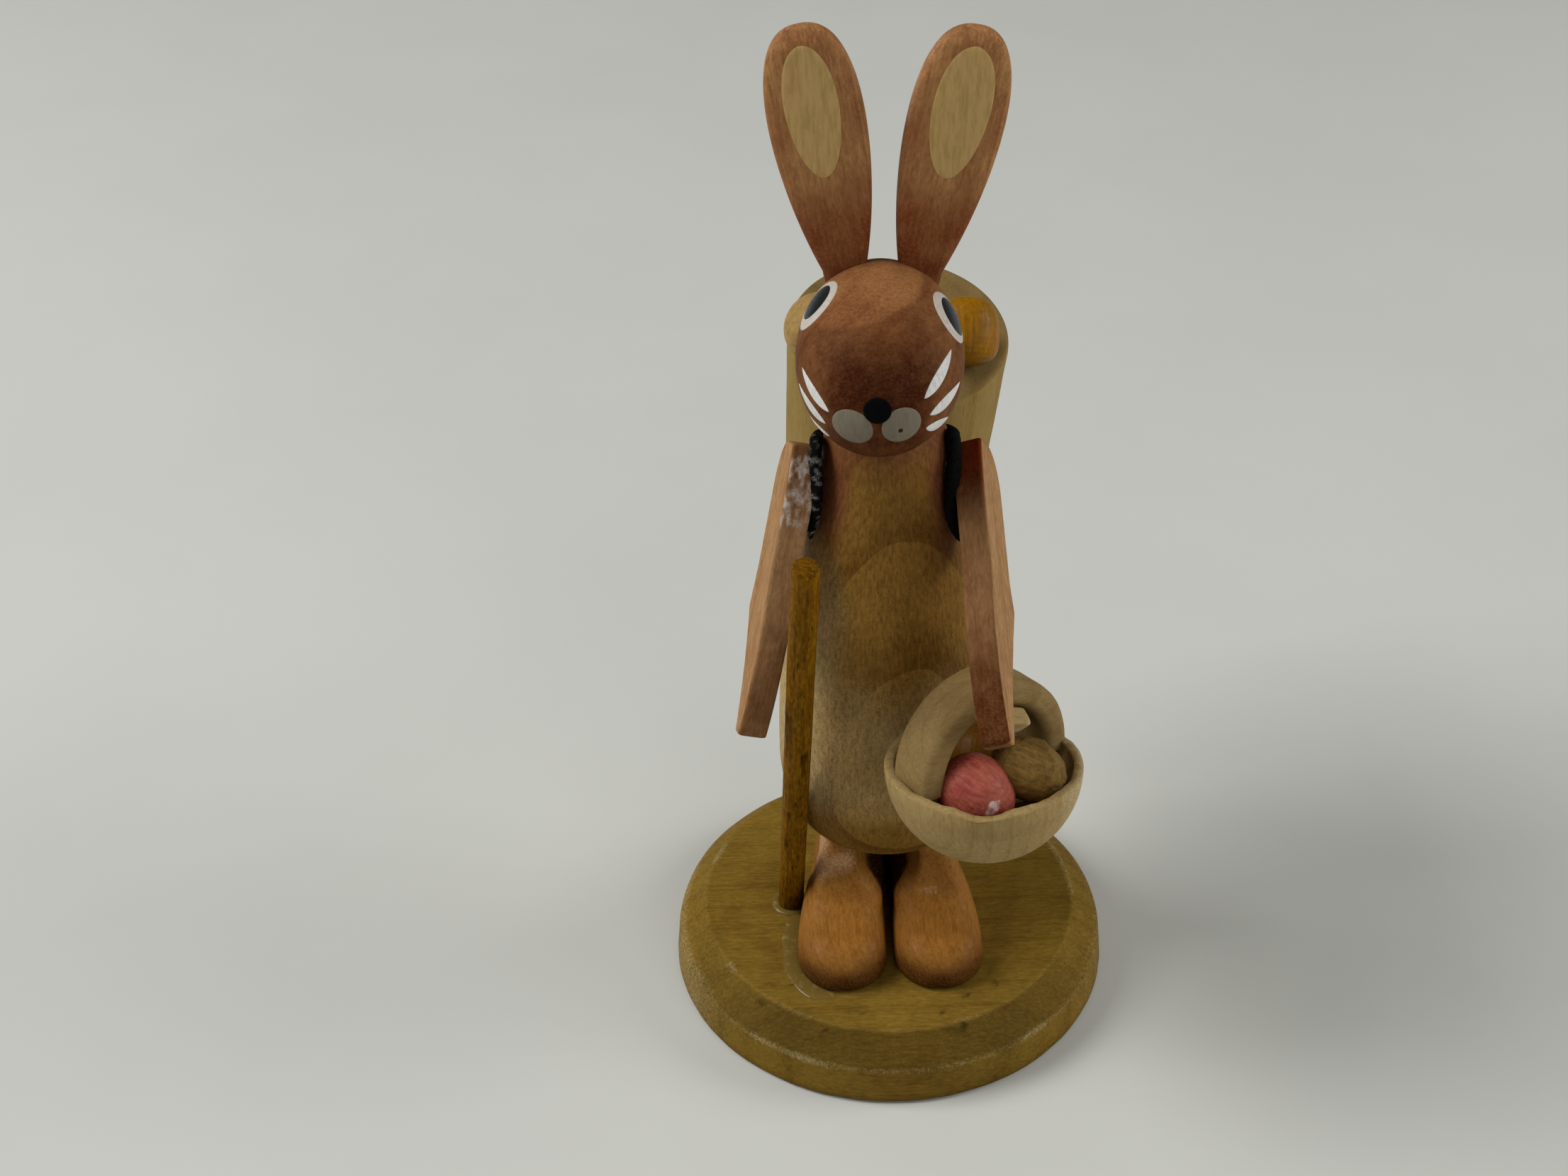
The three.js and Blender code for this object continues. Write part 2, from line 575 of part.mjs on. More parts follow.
// Straps from the pannier's front wall over the shoulders to the armpits
function strapSection(radius) {
  const section = new THREE.Shape();
  for (let k = 0; k < STRAP_SIDES; k += 1) {
    const t = 2 * Math.PI * k / STRAP_SIDES;
    const corner = [radius * Math.cos(t), radius * Math.sin(t)];
    if (k) section.lineTo(...corner);
    else section.moveTo(...corner);
  }
  return section;
}
function strap(path, side) {
  const held = path.map(([height, azimuth]) => onBody(BODY_Z + height, azimuth, STRAP_R + GAP));
  const wall = new THREE.Vector3(side * STRAP_END_X, 0, held[0].z - STRAP_R);
  const toFront = Math.sqrt(PANNIER_R ** 2 - (wall.x - PANNIER_X) ** 2) * Math.cos(rad(PANNIER_LEAN));
  wall.y = PANNIER_Y - toFront + STRAP_R;
  const extrudePath = new THREE.CatmullRomCurve3([wall, ...held]);
  const sweep = (radius) => solid(new THREE.ExtrudeGeometry(strapSection(radius), {
    steps: STRAP_STEPS,
    extrudePath,
    bevelEnabled: false,
  }));
  const cord = sweep(STRAP_R).subtract(pannierGrown).subtract(bodyGrown).subtract(headGrown);
  return { cord, groove: sweep(STRAP_R + GAP) };
}
const strapLeft = strap(STRAP_LEFT, -1);
const strapRight = strap(STRAP_RIGHT, 1);

// Arms with their bores, grooved over the straps; the left one also where the stick leans on it
const leftArm = cutFrom(arm(frameLeft, 0), [armDowelLeft.bore, strapLeft.groove, stick(GAP)]);
const rightArm = cutFrom(arm(frameRight, 0), [armDowelRight.bore, strapRight.groove, peg.bore]);

// Hoop and bowl of the hand basket
const arch = new THREE.Shape();
arch.moveTo(HOOP_R, -HOOP_DEPTH);
arch.lineTo(HOOP_R, HOOP_MID);
arch.absarc(0, HOOP_MID, HOOP_R, 0, Math.PI, false);
arch.lineTo(-HOOP_R, -HOOP_DEPTH);
arch.lineTo(HOOP_T - HOOP_R, -HOOP_DEPTH);
arch.lineTo(HOOP_T - HOOP_R, HOOP_MID);
arch.absarc(0, HOOP_MID, HOOP_R - HOOP_T, Math.PI, 0, true);
arch.lineTo(HOOP_R - HOOP_T, -HOOP_DEPTH);
const hoopGeometry = new THREE.ExtrudeGeometry(arch, {
  depth: HOOP_W - 2 * HOOP_EDGE,
  bevelThickness: HOOP_EDGE,
  bevelSize: HOOP_EDGE,
  bevelOffset: -HOOP_EDGE,
  bevelSegments: 1,
  curveSegments: 24,
});
hoopGeometry.translate(0, 0, HOOP_EDGE - HOOP_W / 2).rotateX(Math.PI / 2);
const hoop = solid(hoopGeometry.applyMatrix4(basket));
function bowlProfile() {
  const rows = [];
  const steps = 10;
  for (let i = 0; i <= steps; i += 1) {
    const t = Math.PI / 2 * i / steps;
    rows.push([BOWL_R * Math.sin(t), -BOWL_R * Math.cos(t)]);
  }
  for (let i = steps; i >= 0; i -= 1) {
    const t = Math.PI / 2 * i / steps;
    rows.push([BOWL_IN * Math.sin(t), -BOWL_HOLLOW * Math.cos(t)]);
  }
  rows[0][0] = 0;
  rows[rows.length - 1][0] = 0;
  return rows;
}
const bowl = solid(turned(bowlProfile(), 36).applyMatrix4(basket)).subtract(bodyGrown);

// Egg let down along a line until it rests a glue line away from what lies under it
function settle(size, start, down, { lean, heading }, under) {
  const turn = new THREE.Quaternion().setFromEuler(new THREE.Euler(rad(lean), 0, rad(heading), 'ZXY'));
  const at = (drop, grow) => {
    const spot = start.clone().addScaledVector(down, drop);
    return solid(egg(size, grow).applyQuaternion(turn).translate(spot.x, spot.y, spot.z));
  };
  const free = (drop) => {
    const shell = at(drop, GAP);
    return under.every((piece) => shell.intersect(piece).volume() < 1e-6);
  };
  let drop = 0;
  while (drop > -size.long && !free(drop)) drop -= size.long / 20;
  let step = size.long / 10;
  while (step > GAP / 15) {
    if (drop + step < 3 * size.long && free(drop + step)) drop += step;
    else step /= 2;
  }
  return at(drop, 0);
}
const pannierDown = inPannier(0, 0, -1).sub(inPannier(0, 0, 0));
function pannierEgg(spot, beside) {
  const start = inPannier(spot.x * PANNIER_R, spot.y * PANNIER_R, 2 * PANNIER_EGG.long);
  return settle(PANNIER_EGG, start, pannierDown, spot, [pannier, head, ...beside]);
}
const eggYellow = pannierEgg(PANNIER_SPOT_YELLOW, []);
const eggCream = pannierEgg(PANNIER_SPOT_CREAM, [eggYellow]);
const eggRed = pannierEgg(PANNIER_SPOT_RED, [eggYellow, eggCream]);
const basketDown = inBasket(0, 0, -1).sub(inBasket(0, 0, 0));
function basketEgg(spot, beside) {
  const start = inBasket(spot.x * BOWL_IN, spot.y * BOWL_IN, 0.1 * BASKET_EGG.long);
  return settle(BASKET_EGG, start, basketDown, spot, [bowl, hoop, peg.bar, rightArm, ...beside]);
}
const basketEggRed = basketEgg(BASKET_SPOT_RED, []);
const basketEggBrown = basketEgg(BASKET_SPOT_BROWN, [basketEggRed]);
const basketEggYellow = basketEgg(BASKET_SPOT_YELLOW, [basketEggRed, basketEggBrown]);

// Finishes
const FINISH = {
  moss: { color: 0x6f6236, roughness: 0.72, metalness: 0 },
  hare: { color: 0x8a5530, roughness: 0.6, metalness: 0 },
  foot: { color: 0x9c6434, roughness: 0.6, metalness: 0 },
  stick: { color: 0xb08d4f, roughness: 0.65, metalness: 0 },
  plain: { color: 0xc9a878, roughness: 0.7, metalness: 0 },
  pale: { color: 0xd9c29a, roughness: 0.75, metalness: 0 },
  cord: { color: 0x1d1a1a, roughness: 0.85, metalness: 0 },
  yellow: { color: 0xd8b13a, roughness: 0.5, metalness: 0 },
  cream: { color: 0xe2d3ac, roughness: 0.6, metalness: 0 },
  red: { color: 0xc4584e, roughness: 0.5, metalness: 0 },
  brown: { color: 0xa97a52, roughness: 0.65, metalness: 0 },
};
const figure = new THREE.Group();
figure.name = 'wooden_hare';
function place(name, piece, finish) {
  const data = piece.getMesh();
  const geometry = new THREE.BufferGeometry();
  geometry.setAttribute('position', new THREE.BufferAttribute(new Float32Array(data.vertProperties), 3));
  geometry.setIndex(new THREE.BufferAttribute(new Uint32Array(data.triVerts), 1));
  geometry.computeVertexNormals();
  const mesh = new THREE.Mesh(geometry, new THREE.MeshStandardMaterial(finish));
  mesh.name = name;
  figure.add(mesh);
}
place('base', base, FINISH.moss);
place('foot_left', footLeft, FINISH.foot);
place('foot_right', footRight, FINISH.foot);
place('leg_dowel_left', legDowelLeft.bar, FINISH.pale);
place('leg_dowel_right', legDowelRight.bar, FINISH.pale);
place('body', body, FINISH.plain);
place('neck_dowel', neckDowel.bar, FINISH.pale);
place('head', head, FINISH.hare);
place('ear_left', earLeft.piece, FINISH.hare);
place('ear_right', earRight.piece, FINISH.hare);
place('arm_left', leftArm, FINISH.plain);
place('arm_right', rightArm, FINISH.plain);
place('arm_dowel_left', armDowelLeft.bar, FINISH.pale);
place('arm_dowel_right', armDowelRight.bar, FINISH.pale);
place('hand_peg', peg.bar, FINISH.pale);
place('walking_stick', stick(0), FINISH.stick);
place('pannier', pannier, FINISH.plain);
place('pannier_dowel', pannierDowel.bar, FINISH.pale);
place('strap_left', strapLeft.cord, FINISH.cord);
place('strap_right', strapRight.cord, FINISH.cord);
place('pannier_egg_yellow', eggYellow, FINISH.yellow);
place('pannier_egg_cream', eggCream, FINISH.cream);
place('pannier_egg_red', eggRed, FINISH.red);
place('basket_bowl', bowl, FINISH.pale);
place('basket_hoop', hoop, FINISH.pale);
place('basket_egg_red', basketEggRed, FINISH.red);
place('basket_egg_brown', basketEggBrown, FINISH.brown);
place('basket_egg_yellow', basketEggYellow, FINISH.yellow);

export default figure;
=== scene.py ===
"""Wooden hare on a round base, with a walking stick, a pannier of eggs and a hand basket of eggs.

Every piece is a surface worked out with numpy in millimetres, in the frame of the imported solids: the
base rests on Z = 0, the hare faces -Y, and left and right are the viewer's.
"""

from __future__ import annotations

import logging
from dataclasses import dataclass, field
from enum import Enum

import bpy
import numpy as np
from mathutils import Matrix, Vector

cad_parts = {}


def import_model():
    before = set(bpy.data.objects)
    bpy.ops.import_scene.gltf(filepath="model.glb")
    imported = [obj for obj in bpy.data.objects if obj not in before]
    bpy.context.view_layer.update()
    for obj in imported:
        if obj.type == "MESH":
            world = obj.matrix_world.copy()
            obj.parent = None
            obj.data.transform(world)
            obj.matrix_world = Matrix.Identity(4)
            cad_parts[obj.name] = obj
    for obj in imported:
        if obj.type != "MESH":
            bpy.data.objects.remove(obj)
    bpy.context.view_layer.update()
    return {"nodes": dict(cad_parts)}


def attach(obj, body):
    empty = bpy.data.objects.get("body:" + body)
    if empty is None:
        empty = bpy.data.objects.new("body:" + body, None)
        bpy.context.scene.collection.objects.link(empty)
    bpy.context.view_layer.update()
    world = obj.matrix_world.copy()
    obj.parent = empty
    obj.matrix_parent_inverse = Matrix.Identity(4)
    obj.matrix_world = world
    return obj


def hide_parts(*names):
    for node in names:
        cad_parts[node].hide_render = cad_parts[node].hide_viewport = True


LOG = logging.getLogger("wooden_hare")
MM = 0.001
TINY = 1e-6
Array = np.ndarray
Socket = bpy.types.NodeSocket
Span = tuple[float, float]
Spot = tuple[float, float, float]

# Whole numbers that scatter the lattice of soft_noise, and a shift that keeps its cells positive
HASH_AXES = np.array([73856093, 19349663, 83492791])
HASH_SEED = 97531
HASH_MIX = 1274126177
LATTICE_SHIFT = 4096.0

# Points on a rounded corner, distance between the rings of an unscaled wave, middle of a noise's values
CORNER_POINTS = 5
RING_PITCH = 0.314
MIDDLE: Span = (0.3, 0.7)


class Axis(Enum):
    """Axes of the frame."""

    X = 0
    Y = 1
    Z = 2


class Side(Enum):
    """Viewer's left or right."""

    LEFT = -1
    RIGHT = 1

    @property
    def label(self) -> str:
        """The side's name as used in piece names."""
        return self.name.lower()


class Layer(Enum):
    """Painted layers that a mesh may carry for its finish: sprayed colour, dirt and rubbing, with painted
    shade and painted highlights in them on some pieces.
    """

    SPRAY = "spray"
    SOIL_AND_SHADE = "soil_and_shade"
    WEAR = "wear"


class Mark(Enum):
    """Outline of a painted mark, a dot or a leaf, valued by how pointed its ends are."""

    DOT = 0.0
    LEAF = 0.55


def linear(code: str) -> Spot:
    """Scene-linear colour of a hex code, by the sRGB curve.

    Args:
        code: six hex digits.

    Returns:
        Red, green and blue from 0 to 1.
    """
    share = np.array([int(code[i : i + 2], 16) for i in (0, 2, 4)]) / 255
    bright = np.where(share <= 0.04045, share / 12.92, ((share + 0.055) / 1.055) ** 2.4)
    return tuple(float(v) for v in bright)


def smooth(value: Array, low: float, high: float) -> Array:
    """Smooth step: 0 at low, 1 at high, 3t^2 - 2t^3 between."""
    t = np.clip((value - low) / (high - low), 0, 1)
    return t * t * (3 - 2 * t)


def fade(value: Array, low: float, high: float) -> Array:
    """Smooth step downwards: 1 at low, 0 at high."""
    return 1 - smooth(value, low, high)


def bell(value: Array, middle: float | Array, width: float) -> Array:
    """Bell curve: e to the power of minus the square of (value - middle) / width."""
    return np.exp(-(((value - middle) / width) ** 2))


def bent(value: Array, power: float) -> Array:
    """Power of the size with the sign kept, as round a superellipse."""
    return np.sign(value) * np.abs(value) ** power


def unit(rows: Array) -> Array:
    """Each row divided by its length."""
    return rows / np.linalg.norm(rows, axis=-1, keepdims=True)


def circle(count: int) -> Array:
    """Even angles round a full turn, the last one left out."""
    return np.linspace(0, 2 * np.pi, count, endpoint=False)


def run_along(line: Array) -> Array:
    """Length of a polyline up to each of its points."""
    return np.r_[0, np.cumsum(np.linalg.norm(np.diff(line, axis=0), axis=1))]


def soft_noise(points: Array, size: float, seed: int) -> Array:
    """Value noise: random values on a cube lattice, blended by smooth steps between the corners.

    Args:
        points: places in millimetres, along the last axis.
        size: lattice spacing in millimetres.
        seed: which noise.

    Returns:
        One value from -1 to 1 for each place.
    """
    cell = points / size + LATTICE_SHIFT
    base = np.floor(cell).astype(np.int64)
    part = smooth(cell - base, 0, 1)
    total = np.zeros(points.shape[:-1])
    for corner in range(8):
        step = np.array([corner & 1, corner >> 1 & 1, corner >> 2 & 1])
        mixed = ((base + step) * HASH_AXES).sum(-1) + seed * HASH_SEED
        mixed = (mixed ^ (mixed >> 13)) * HASH_MIX
        value = ((mixed ^ (mixed >> 16)) & 0xFFFF) / 32767.5 - 1
        total += value * np.where(step, part, 1 - part).prod(-1)
    return total


def curve(corners: list[Span] | list[Array], count: int) -> Array:
    """Curve drawn by its control points, by repeated straight blends between them.

    Args:
        corners: control points, or arrays of them.
        count: rows given back.

    Returns:
        The curve's points, from the first control point to the last.
    """
    rows = [np.array(corner, float) for corner in corners]
    t = np.linspace(0, 1, count).reshape(-1, *[1] * rows[0].ndim)
    while len(rows) > 1:
        rows = [(1 - t) * a + t * b for a, b in zip(rows, rows[1:])]
    return rows[0]


def densify(line: list[Span] | Array, step: float) -> Array:
    """Polyline with extra points, evenly spread along it.

    Args:
        line: rows of points.
        step: largest distance between two points given back.

    Returns:
        The rows, the given ones among them.
    """
    points = np.array(line, float)
    run = run_along(points)
    even = np.linspace(0, run[-1], int(run[-1] / step) + 2)
    at = np.unique(np.round(np.r_[run, even], 6))
    return np.stack([np.interp(at, run, column) for column in points.T], 1)


def eased(corners: list[Span], radius: float, step: float) -> Array:
    """Profile through corners, each inner corner eased by a parabola that starts radius away from it.

    On a short side the parabola starts 0.45 of the side away instead.

    Args:
        corners: rows of radius and height.
        radius: how far from its corner each parabola starts.
        step: largest distance between the points given back.

    Returns:
        Rows of radius and height.
    """
    points = np.array(corners, float)
    sides = np.diff(points, axis=0)
    lengths = np.linalg.norm(sides, axis=1)[:, None]
    cut = np.minimum(radius, 0.45 * lengths) * sides / lengths
    inner = points[1:-1]
    bend = curve([inner - cut[:-1], inner, inner + cut[1:]], 6).swapaxes(0, 1)
    return densify(np.r_[points[:1], bend.reshape(-1, 2), points[-1:]], step)


def smooth_line(knots: Array, count: int) -> Array:
    """Line run evenly through knots and averaged with a raised cosine a fifth as long.

    Args:
        knots: rows of numbers.
        count: rows given back.

    Returns:
        The smoothed rows.
    """
    t = np.linspace(0, len(knots) - 1, count)
    fine = np.stack([np.interp(t, np.arange(len(knots)), column) for column in knots.T], 1)
    window = np.hanning(count // 5 | 1)
    window /= window.sum()
    reach = len(window) // 2
    padded = np.pad(fine, ((reach, reach), (0, 0)), "reflect", reflect_type="odd")
    return np.stack([np.convolve(column, window, "valid") for column in padded.T], 1)


def rotation(axis: Axis, degrees: float) -> Array:
    """Rotation about an axis, by the right hand.

    Args:
        axis: the axis that stays.
        degrees: the angle.

    Returns:
        3 x 3 matrix.
    """
    c, s = np.cos(np.radians(degrees)), np.sin(np.radians(degrees))
    i, j = (axis.value + 1) % 3, (axis.value + 2) % 3
    matrix = np.eye(3)
    matrix[i, i] = matrix[j, j] = c
    matrix[j, i] = s
    matrix[i, j] = -s
    return matrix


def stand_on(axis: Array) -> Array:
    """Rotation that carries Z onto an axis, by cross products.

    Args:
        axis: the direction, of any length.

    Returns:
        3 x 3 matrix.
    """
    z = unit(axis)
    x = unit(np.cross([0.0, 1.0, 0.0] if abs(z[1]) < 0.9 else [1.0, 0.0, 0.0], z))
    return np.stack([x, np.cross(z, x), z], 1)


@dataclass(frozen=True)
class Seat:
    """A piece's own frame: its origin in the figure and its rotation."""

    place: Spot = (0.0, 0.0, 0.0)
    turn: Array = field(default_factory=lambda: np.eye(3))

    def out(self, points: Array) -> Array:
        """Places of the piece's own frame, in the figure."""
        return points @ self.turn.T + np.array(self.place)

    def own(self, points: Array) -> Array:
        """Places of the figure, in the piece's own frame."""
        return (points - np.array(self.place)) @ self.turn

    def turned(self, axis: Axis, degrees: float) -> Seat:
        """The same origin with the frame turned about one of its own axes."""
        return Seat(self.place, self.turn @ rotation(axis, degrees))


@dataclass(frozen=True)
class Skin:
    """Closed surface: points, quads and triangles that all face outwards."""

    points: Array
    quads: Array
    tris: Array

    def moved(self, seat: Seat) -> Skin:
        """The same skin carried from a seat's own frame into the figure."""
        return Skin(seat.out(self.points), self.quads, self.tris)

    def joined(self, other: Skin) -> Skin:
        """Both skins in one, still overlapping.

        Args:
            other: the second skin.

        Returns:
            The joined skin.
        """
        shift = len(self.points)
        quads = np.r_[self.quads, other.quads + shift]
        tris = np.r_[self.tris, other.tris + shift]
        return Skin(np.r_[self.points, other.points], quads, tris)


def skin(rings: Array, first: Array | None = None, last: Array | None = None) -> Skin:
    """Closed skin over a grid of rings: quads between neighbours, and a fan from a point at each end.

    Args:
        rings: rows x columns x 3 grid, each row a closed ring.
        first: point that closes the first ring, by default its middle.
        last: point that closes the last ring, by default its middle.

    Returns:
        The skin, turned so that its volume is positive.
    """
    rows, cols = rings.shape[:2]
    first = rings[0].mean(0) if first is None else first
    last = rings[-1].mean(0) if last is None else last
    points = np.r_[rings.reshape(-1, 3), [first], [last]]
    here = np.arange(cols)
    after = (here + 1) % cols
    row = np.arange(rows - 1)[:, None] * cols
    quads = np.stack([row + here, row + after, row + after + cols, row + here + cols], -1).reshape(-1, 4)
    end = (rows - 1) * cols
    south = np.stack([np.full(cols, rows * cols), after, here], 1)
    north = np.stack([np.full(cols, rows * cols + 1), end + here, end + after], 1)
    tris = np.r_[south, north]
    fans = np.r_[quads[:, [0, 1, 2]], quads[:, [0, 2, 3]], tris]
    p, q, r = (points[fans[:, i]] for i in range(3))
    if np.einsum("ij,ij->i", p, np.cross(q, r)).sum() < 0:
        quads, tris = quads[:, ::-1], tris[:, ::-1]
    return Skin(points, quads, tris)


def lathe(profile: Array, segments: int) -> Skin:
    """Surface of revolution about Z: each radius and height row is turned through a full circle.

    Args:
        profile: rows of radius and height, the first and the last on the axis.
        segments: points round each circle.

    Returns:
        The closed skin.
    """
    radius, height = profile[1:-1, :1], profile[1:-1, 1:]
    a = circle(segments)
    rings = np.stack([radius * np.cos(a), radius * np.sin(a), np.repeat(height, segments, 1)], -1)
    return skin(rings, np.array([0, 0, profile[0, 1]]), np.array([0, 0, profile[-1, 1]]))


def box_ring(half_x: Array, half_y: Array, radius: float, count: int) -> Array:
    """Rings of rounded rectangles: a corner is a quarter circle, a side is count points in a line.

    Args:
        half_x: half width of each ring.
        half_y: half depth of each ring.
        radius: corner radius.
        count: points along each side.

    Returns:
        rows x columns x 2 grid of ring points.
    """
    t = np.linspace(0, np.pi / 2, CORNER_POINTS)
    signs = np.array([[1, 1], [-1, 1], [-1, -1], [1, -1]], float)
    slide = np.linspace(0, 1, count + 2)[1:-1, None]
    inner, outer = [], []
    for i, sign in enumerate(signs):
        arc = np.stack([np.cos(t + i * np.pi / 2), np.sin(t + i * np.pi / 2)], 1)
        inner += [np.repeat(sign[None], CORNER_POINTS, 0), sign + slide * (signs[(i + 1) % 4] - sign)]
        outer += [arc, np.repeat(arc[-1:], count, 0)]
    half = np.stack([half_x, half_y], 1)[:, None]
    r = np.minimum(radius, half.min(-1, keepdims=True) * 0.95)
    return np.concatenate(inner)[None] * (half - r) + np.concatenate(outer)[None] * r


def egg_profile(short: float, long: float, taper: float, rows: int, full: float = 2.0) -> Array:
    """Egg outline: a superellipse of power full, its radius times 1 + taper cos t.

    Args:
        short: widest diameter.
        long: length.
        taper: how much wider one end is.
        rows: rows given back.
        full: 2 for an ellipse, more for a barrel.

    Returns:
        Rows of radius and height.
    """
    t = np.linspace(0, np.pi, rows)
    radius = short / 2 * np.sin(t) ** (2 / full) * (1 + taper * np.cos(t))
    return np.stack([radius, -long / 2 * bent(np.cos(t), 2 / full)], 1)


def lens_rows(inner: float, rows: int) -> tuple[Array, Array, Array]:
    """Rows of a thin lens: out along its back to the rim, then in over its front, a half circle high.

    Args:
        inner: share of the rim's radius at which the rows start and end.
        rows: rows on the back.

    Returns:
        Columns with each row's share of the radius, whether it is on the front, and its height there.
    """
    back, front = np.linspace(inner, 1, rows), np.linspace(1, inner, rows)[1:]
    share = np.r_[back, front][:, None]
    on_front = np.arange(len(share))[:, None] >= rows
    return share, on_front, np.sqrt(1 - share**2)


@dataclass(frozen=True)
class Noise:
    """Fractal noise of a finish: cells a millimetre, detail, roughness and squeeze along Z."""

    scale: float
    detail: float
    roughness: float
    along: float = 1.0


FIBRE = Noise(2.6, 4.0, 0.6, along=0.045)
DASH = Noise(2.3, 3.0, 0.65, along=0.28)
PORE = Noise(3.4, 2.0, 0.5, along=0.1)
CLOUD = Noise(0.11, 3.0, 0.55)
SPECKLE = Noise(2.9, 4.0, 0.7)
BRUSH = Noise(1.0, 3.0, 0.6)
PAINT_PIMPLE = Noise(3.5, 3.0, 0.6)
FLUFF = Noise(4.5, 4.0, 0.7)
LINT_PATCH = Noise(0.9, 3.0, 0.6)
GLUE_HAZE = Noise(0.7, 3.0, 0.6)
PAPER = Noise(0.012, 4.0, 0.6)


class NodeSheet:
    """A material's node tree with short calls for the nodes that the finishes use."""

    def __init__(self, name: str) -> None:
        """Starts a material with its shader.

        Args:
            name: the material's name.
        """
        self.material = bpy.data.materials.new(name)
        self.material.use_nodes = True
        self.tree = self.material.node_tree
        self.shader = self.tree.nodes["Principled BSDF"]

    def feed(self, socket: Socket, value: object) -> None:
        """Links a socket to another, or sets its own value, with full alpha on a colour.

        Args:
            socket: the input that is fed.
            value: an output's socket, or the value to set.
        """
        if isinstance(value, Socket):
            self.tree.links.new(value, socket)
        else:
            socket.default_value = (*value, 1.0) if socket.type == "RGBA" else value

    def add(self, kind: str, inputs: dict, output: str | int = 0, **choices: str) -> Socket:
        """Adds a node.

        Args:
            kind: its type's name, without the start that all shader nodes share.
            inputs: what feeds its sockets, by name or number.
            output: the output wanted.
            choices: the node's own settings.

        Returns:
            The output's socket.
        """
        node = self.tree.nodes.new(f"ShaderNode{kind}")
        for name, choice in choices.items():
            setattr(node, name, choice)
        for name, value in inputs.items():
            self.feed(node.inputs[name], value)
        return node.outputs[output]

    def placed(self, seat: Seat) -> Socket:
        """Object coordinates in millimetres, in a piece's own frame.

        Args:
            seat: the frame.

        Returns:
            The coordinates' socket.
        """
        inputs = {
            "Vector": self.add("TexCoord", {}, "Object"),
            "Location": Vector(seat.place) * MM,
            "Rotation": Matrix(seat.turn.tolist()).to_euler("XYZ"),
            "Scale": (MM, MM, MM),
        }
        return self.add("Mapping", inputs, vector_type="TEXTURE")

    def stretched(self, vector: Socket, scale: Spot, shift: Spot = (0.0, 0.0, 0.0)) -> Socket:
        """Coordinates scaled along each axis and shifted."""
        return self.add("Mapping", {"Vector": vector, "Location": shift, "Scale": scale})

    def noise(self, vector: Socket, kind: Noise) -> Socket:
        """Fractal noise of a kind, about 0.5 on average.

        Args:
            vector: coordinates in millimetres.
            kind: the noise's numbers.

        Returns:
            The noise's socket.
        """
        if kind.along != 1:
            vector = self.stretched(vector, (1, 1, kind.along))
        sizes = {"Scale": kind.scale, "Detail": kind.detail, "Roughness": kind.roughness}
        return self.add("TexNoise", {"Vector": vector, **sizes})

    def rings(self, vector: Socket, spacing: float, bend: float) -> Socket:
        """Year rings round Z, as a saw-toothed wave.

        Args:
            vector: coordinates in millimetres.
            spacing: distance between the rings.
            bend: how far they waver.

        Returns:
            The wave's socket.
        """
        inputs = {
            "Vector": vector,
            "Scale": RING_PITCH / spacing,
            "Distortion": bend,
            "Detail": 2.0,
            "Detail Scale": 0.6,
        }
        choices = {"wave_type": "RINGS", "rings_direction": "Z", "wave_profile": "SAW"}
        return self.add("TexWave", inputs, "Fac", **choices)

    def ranged(self, value: Socket, span: Span, to: Span = (0.0, 1.0)) -> Socket:
        """Smooth step over a span of values, given out over another."""
        ends = {"From Min": span[0], "From Max": span[1], "To Min": to[0], "To Max": to[1]}
        return self.add("MapRange", {"Value": value, **ends}, interpolation_type="SMOOTHSTEP")

    def times(self, a: Socket, b: Socket | float) -> Socket:
        """Product of two numbers."""
        return self.add("Math", {0: a, 1: b}, operation="MULTIPLY")

    def total(self, *terms: tuple[Socket, float]) -> Socket:
        """Sum of values, each times its weight.

        Args:
            terms: pairs of a value and its weight.

        Returns:
            The sum's socket.
        """
        whole = 0.0
        for value, weight in terms:
            whole = self.add("Math", {0: value, 1: weight, 2: whole}, operation="MULTIPLY_ADD")
        return whole

    def mix(self, share: Socket | float, a: Socket | Spot, b: Socket | Spot, kind: str = "MIX") -> Socket:
        """Colour b over colour a."""
        return self.add("Mix", {0: share, 6: a, 7: b}, 2, data_type="RGBA", blend_type=kind)

    def grey(self, value: Socket) -> Socket:
        """A number as a grey colour."""
        return self.add("CombineColor", {0: value, 1: value, 2: value})

    def layer(self, layer: Layer) -> Socket:
        """A painted layer of the mesh, 0 where the mesh has none."""
        return self.add("Attribute", {}, "Fac", attribute_name=layer.value)

    def surface(self, colour: Socket, roughness: Socket | float, specular: float) -> None:
        """Feeds the shader's colour, roughness and shine.

        Args:
            colour: the base colour.
            roughness: how matt the surface is.
            specular: how strongly it shines.
        """
        self.feed(self.shader.inputs["Base Color"], colour)
        self.feed(self.shader.inputs["Roughness"], roughness)
        self.feed(self.shader.inputs["Specular IOR Level"], specular)

    def bump(self, height: Socket, strength: float, depth_mm: float) -> None:
        """Fine relief on the shader's normal."""
        inputs = {"Height": height, "Strength": strength, "Distance": depth_mm * MM}
        self.feed(self.shader.inputs["Normal"], self.add("Bump", inputs))


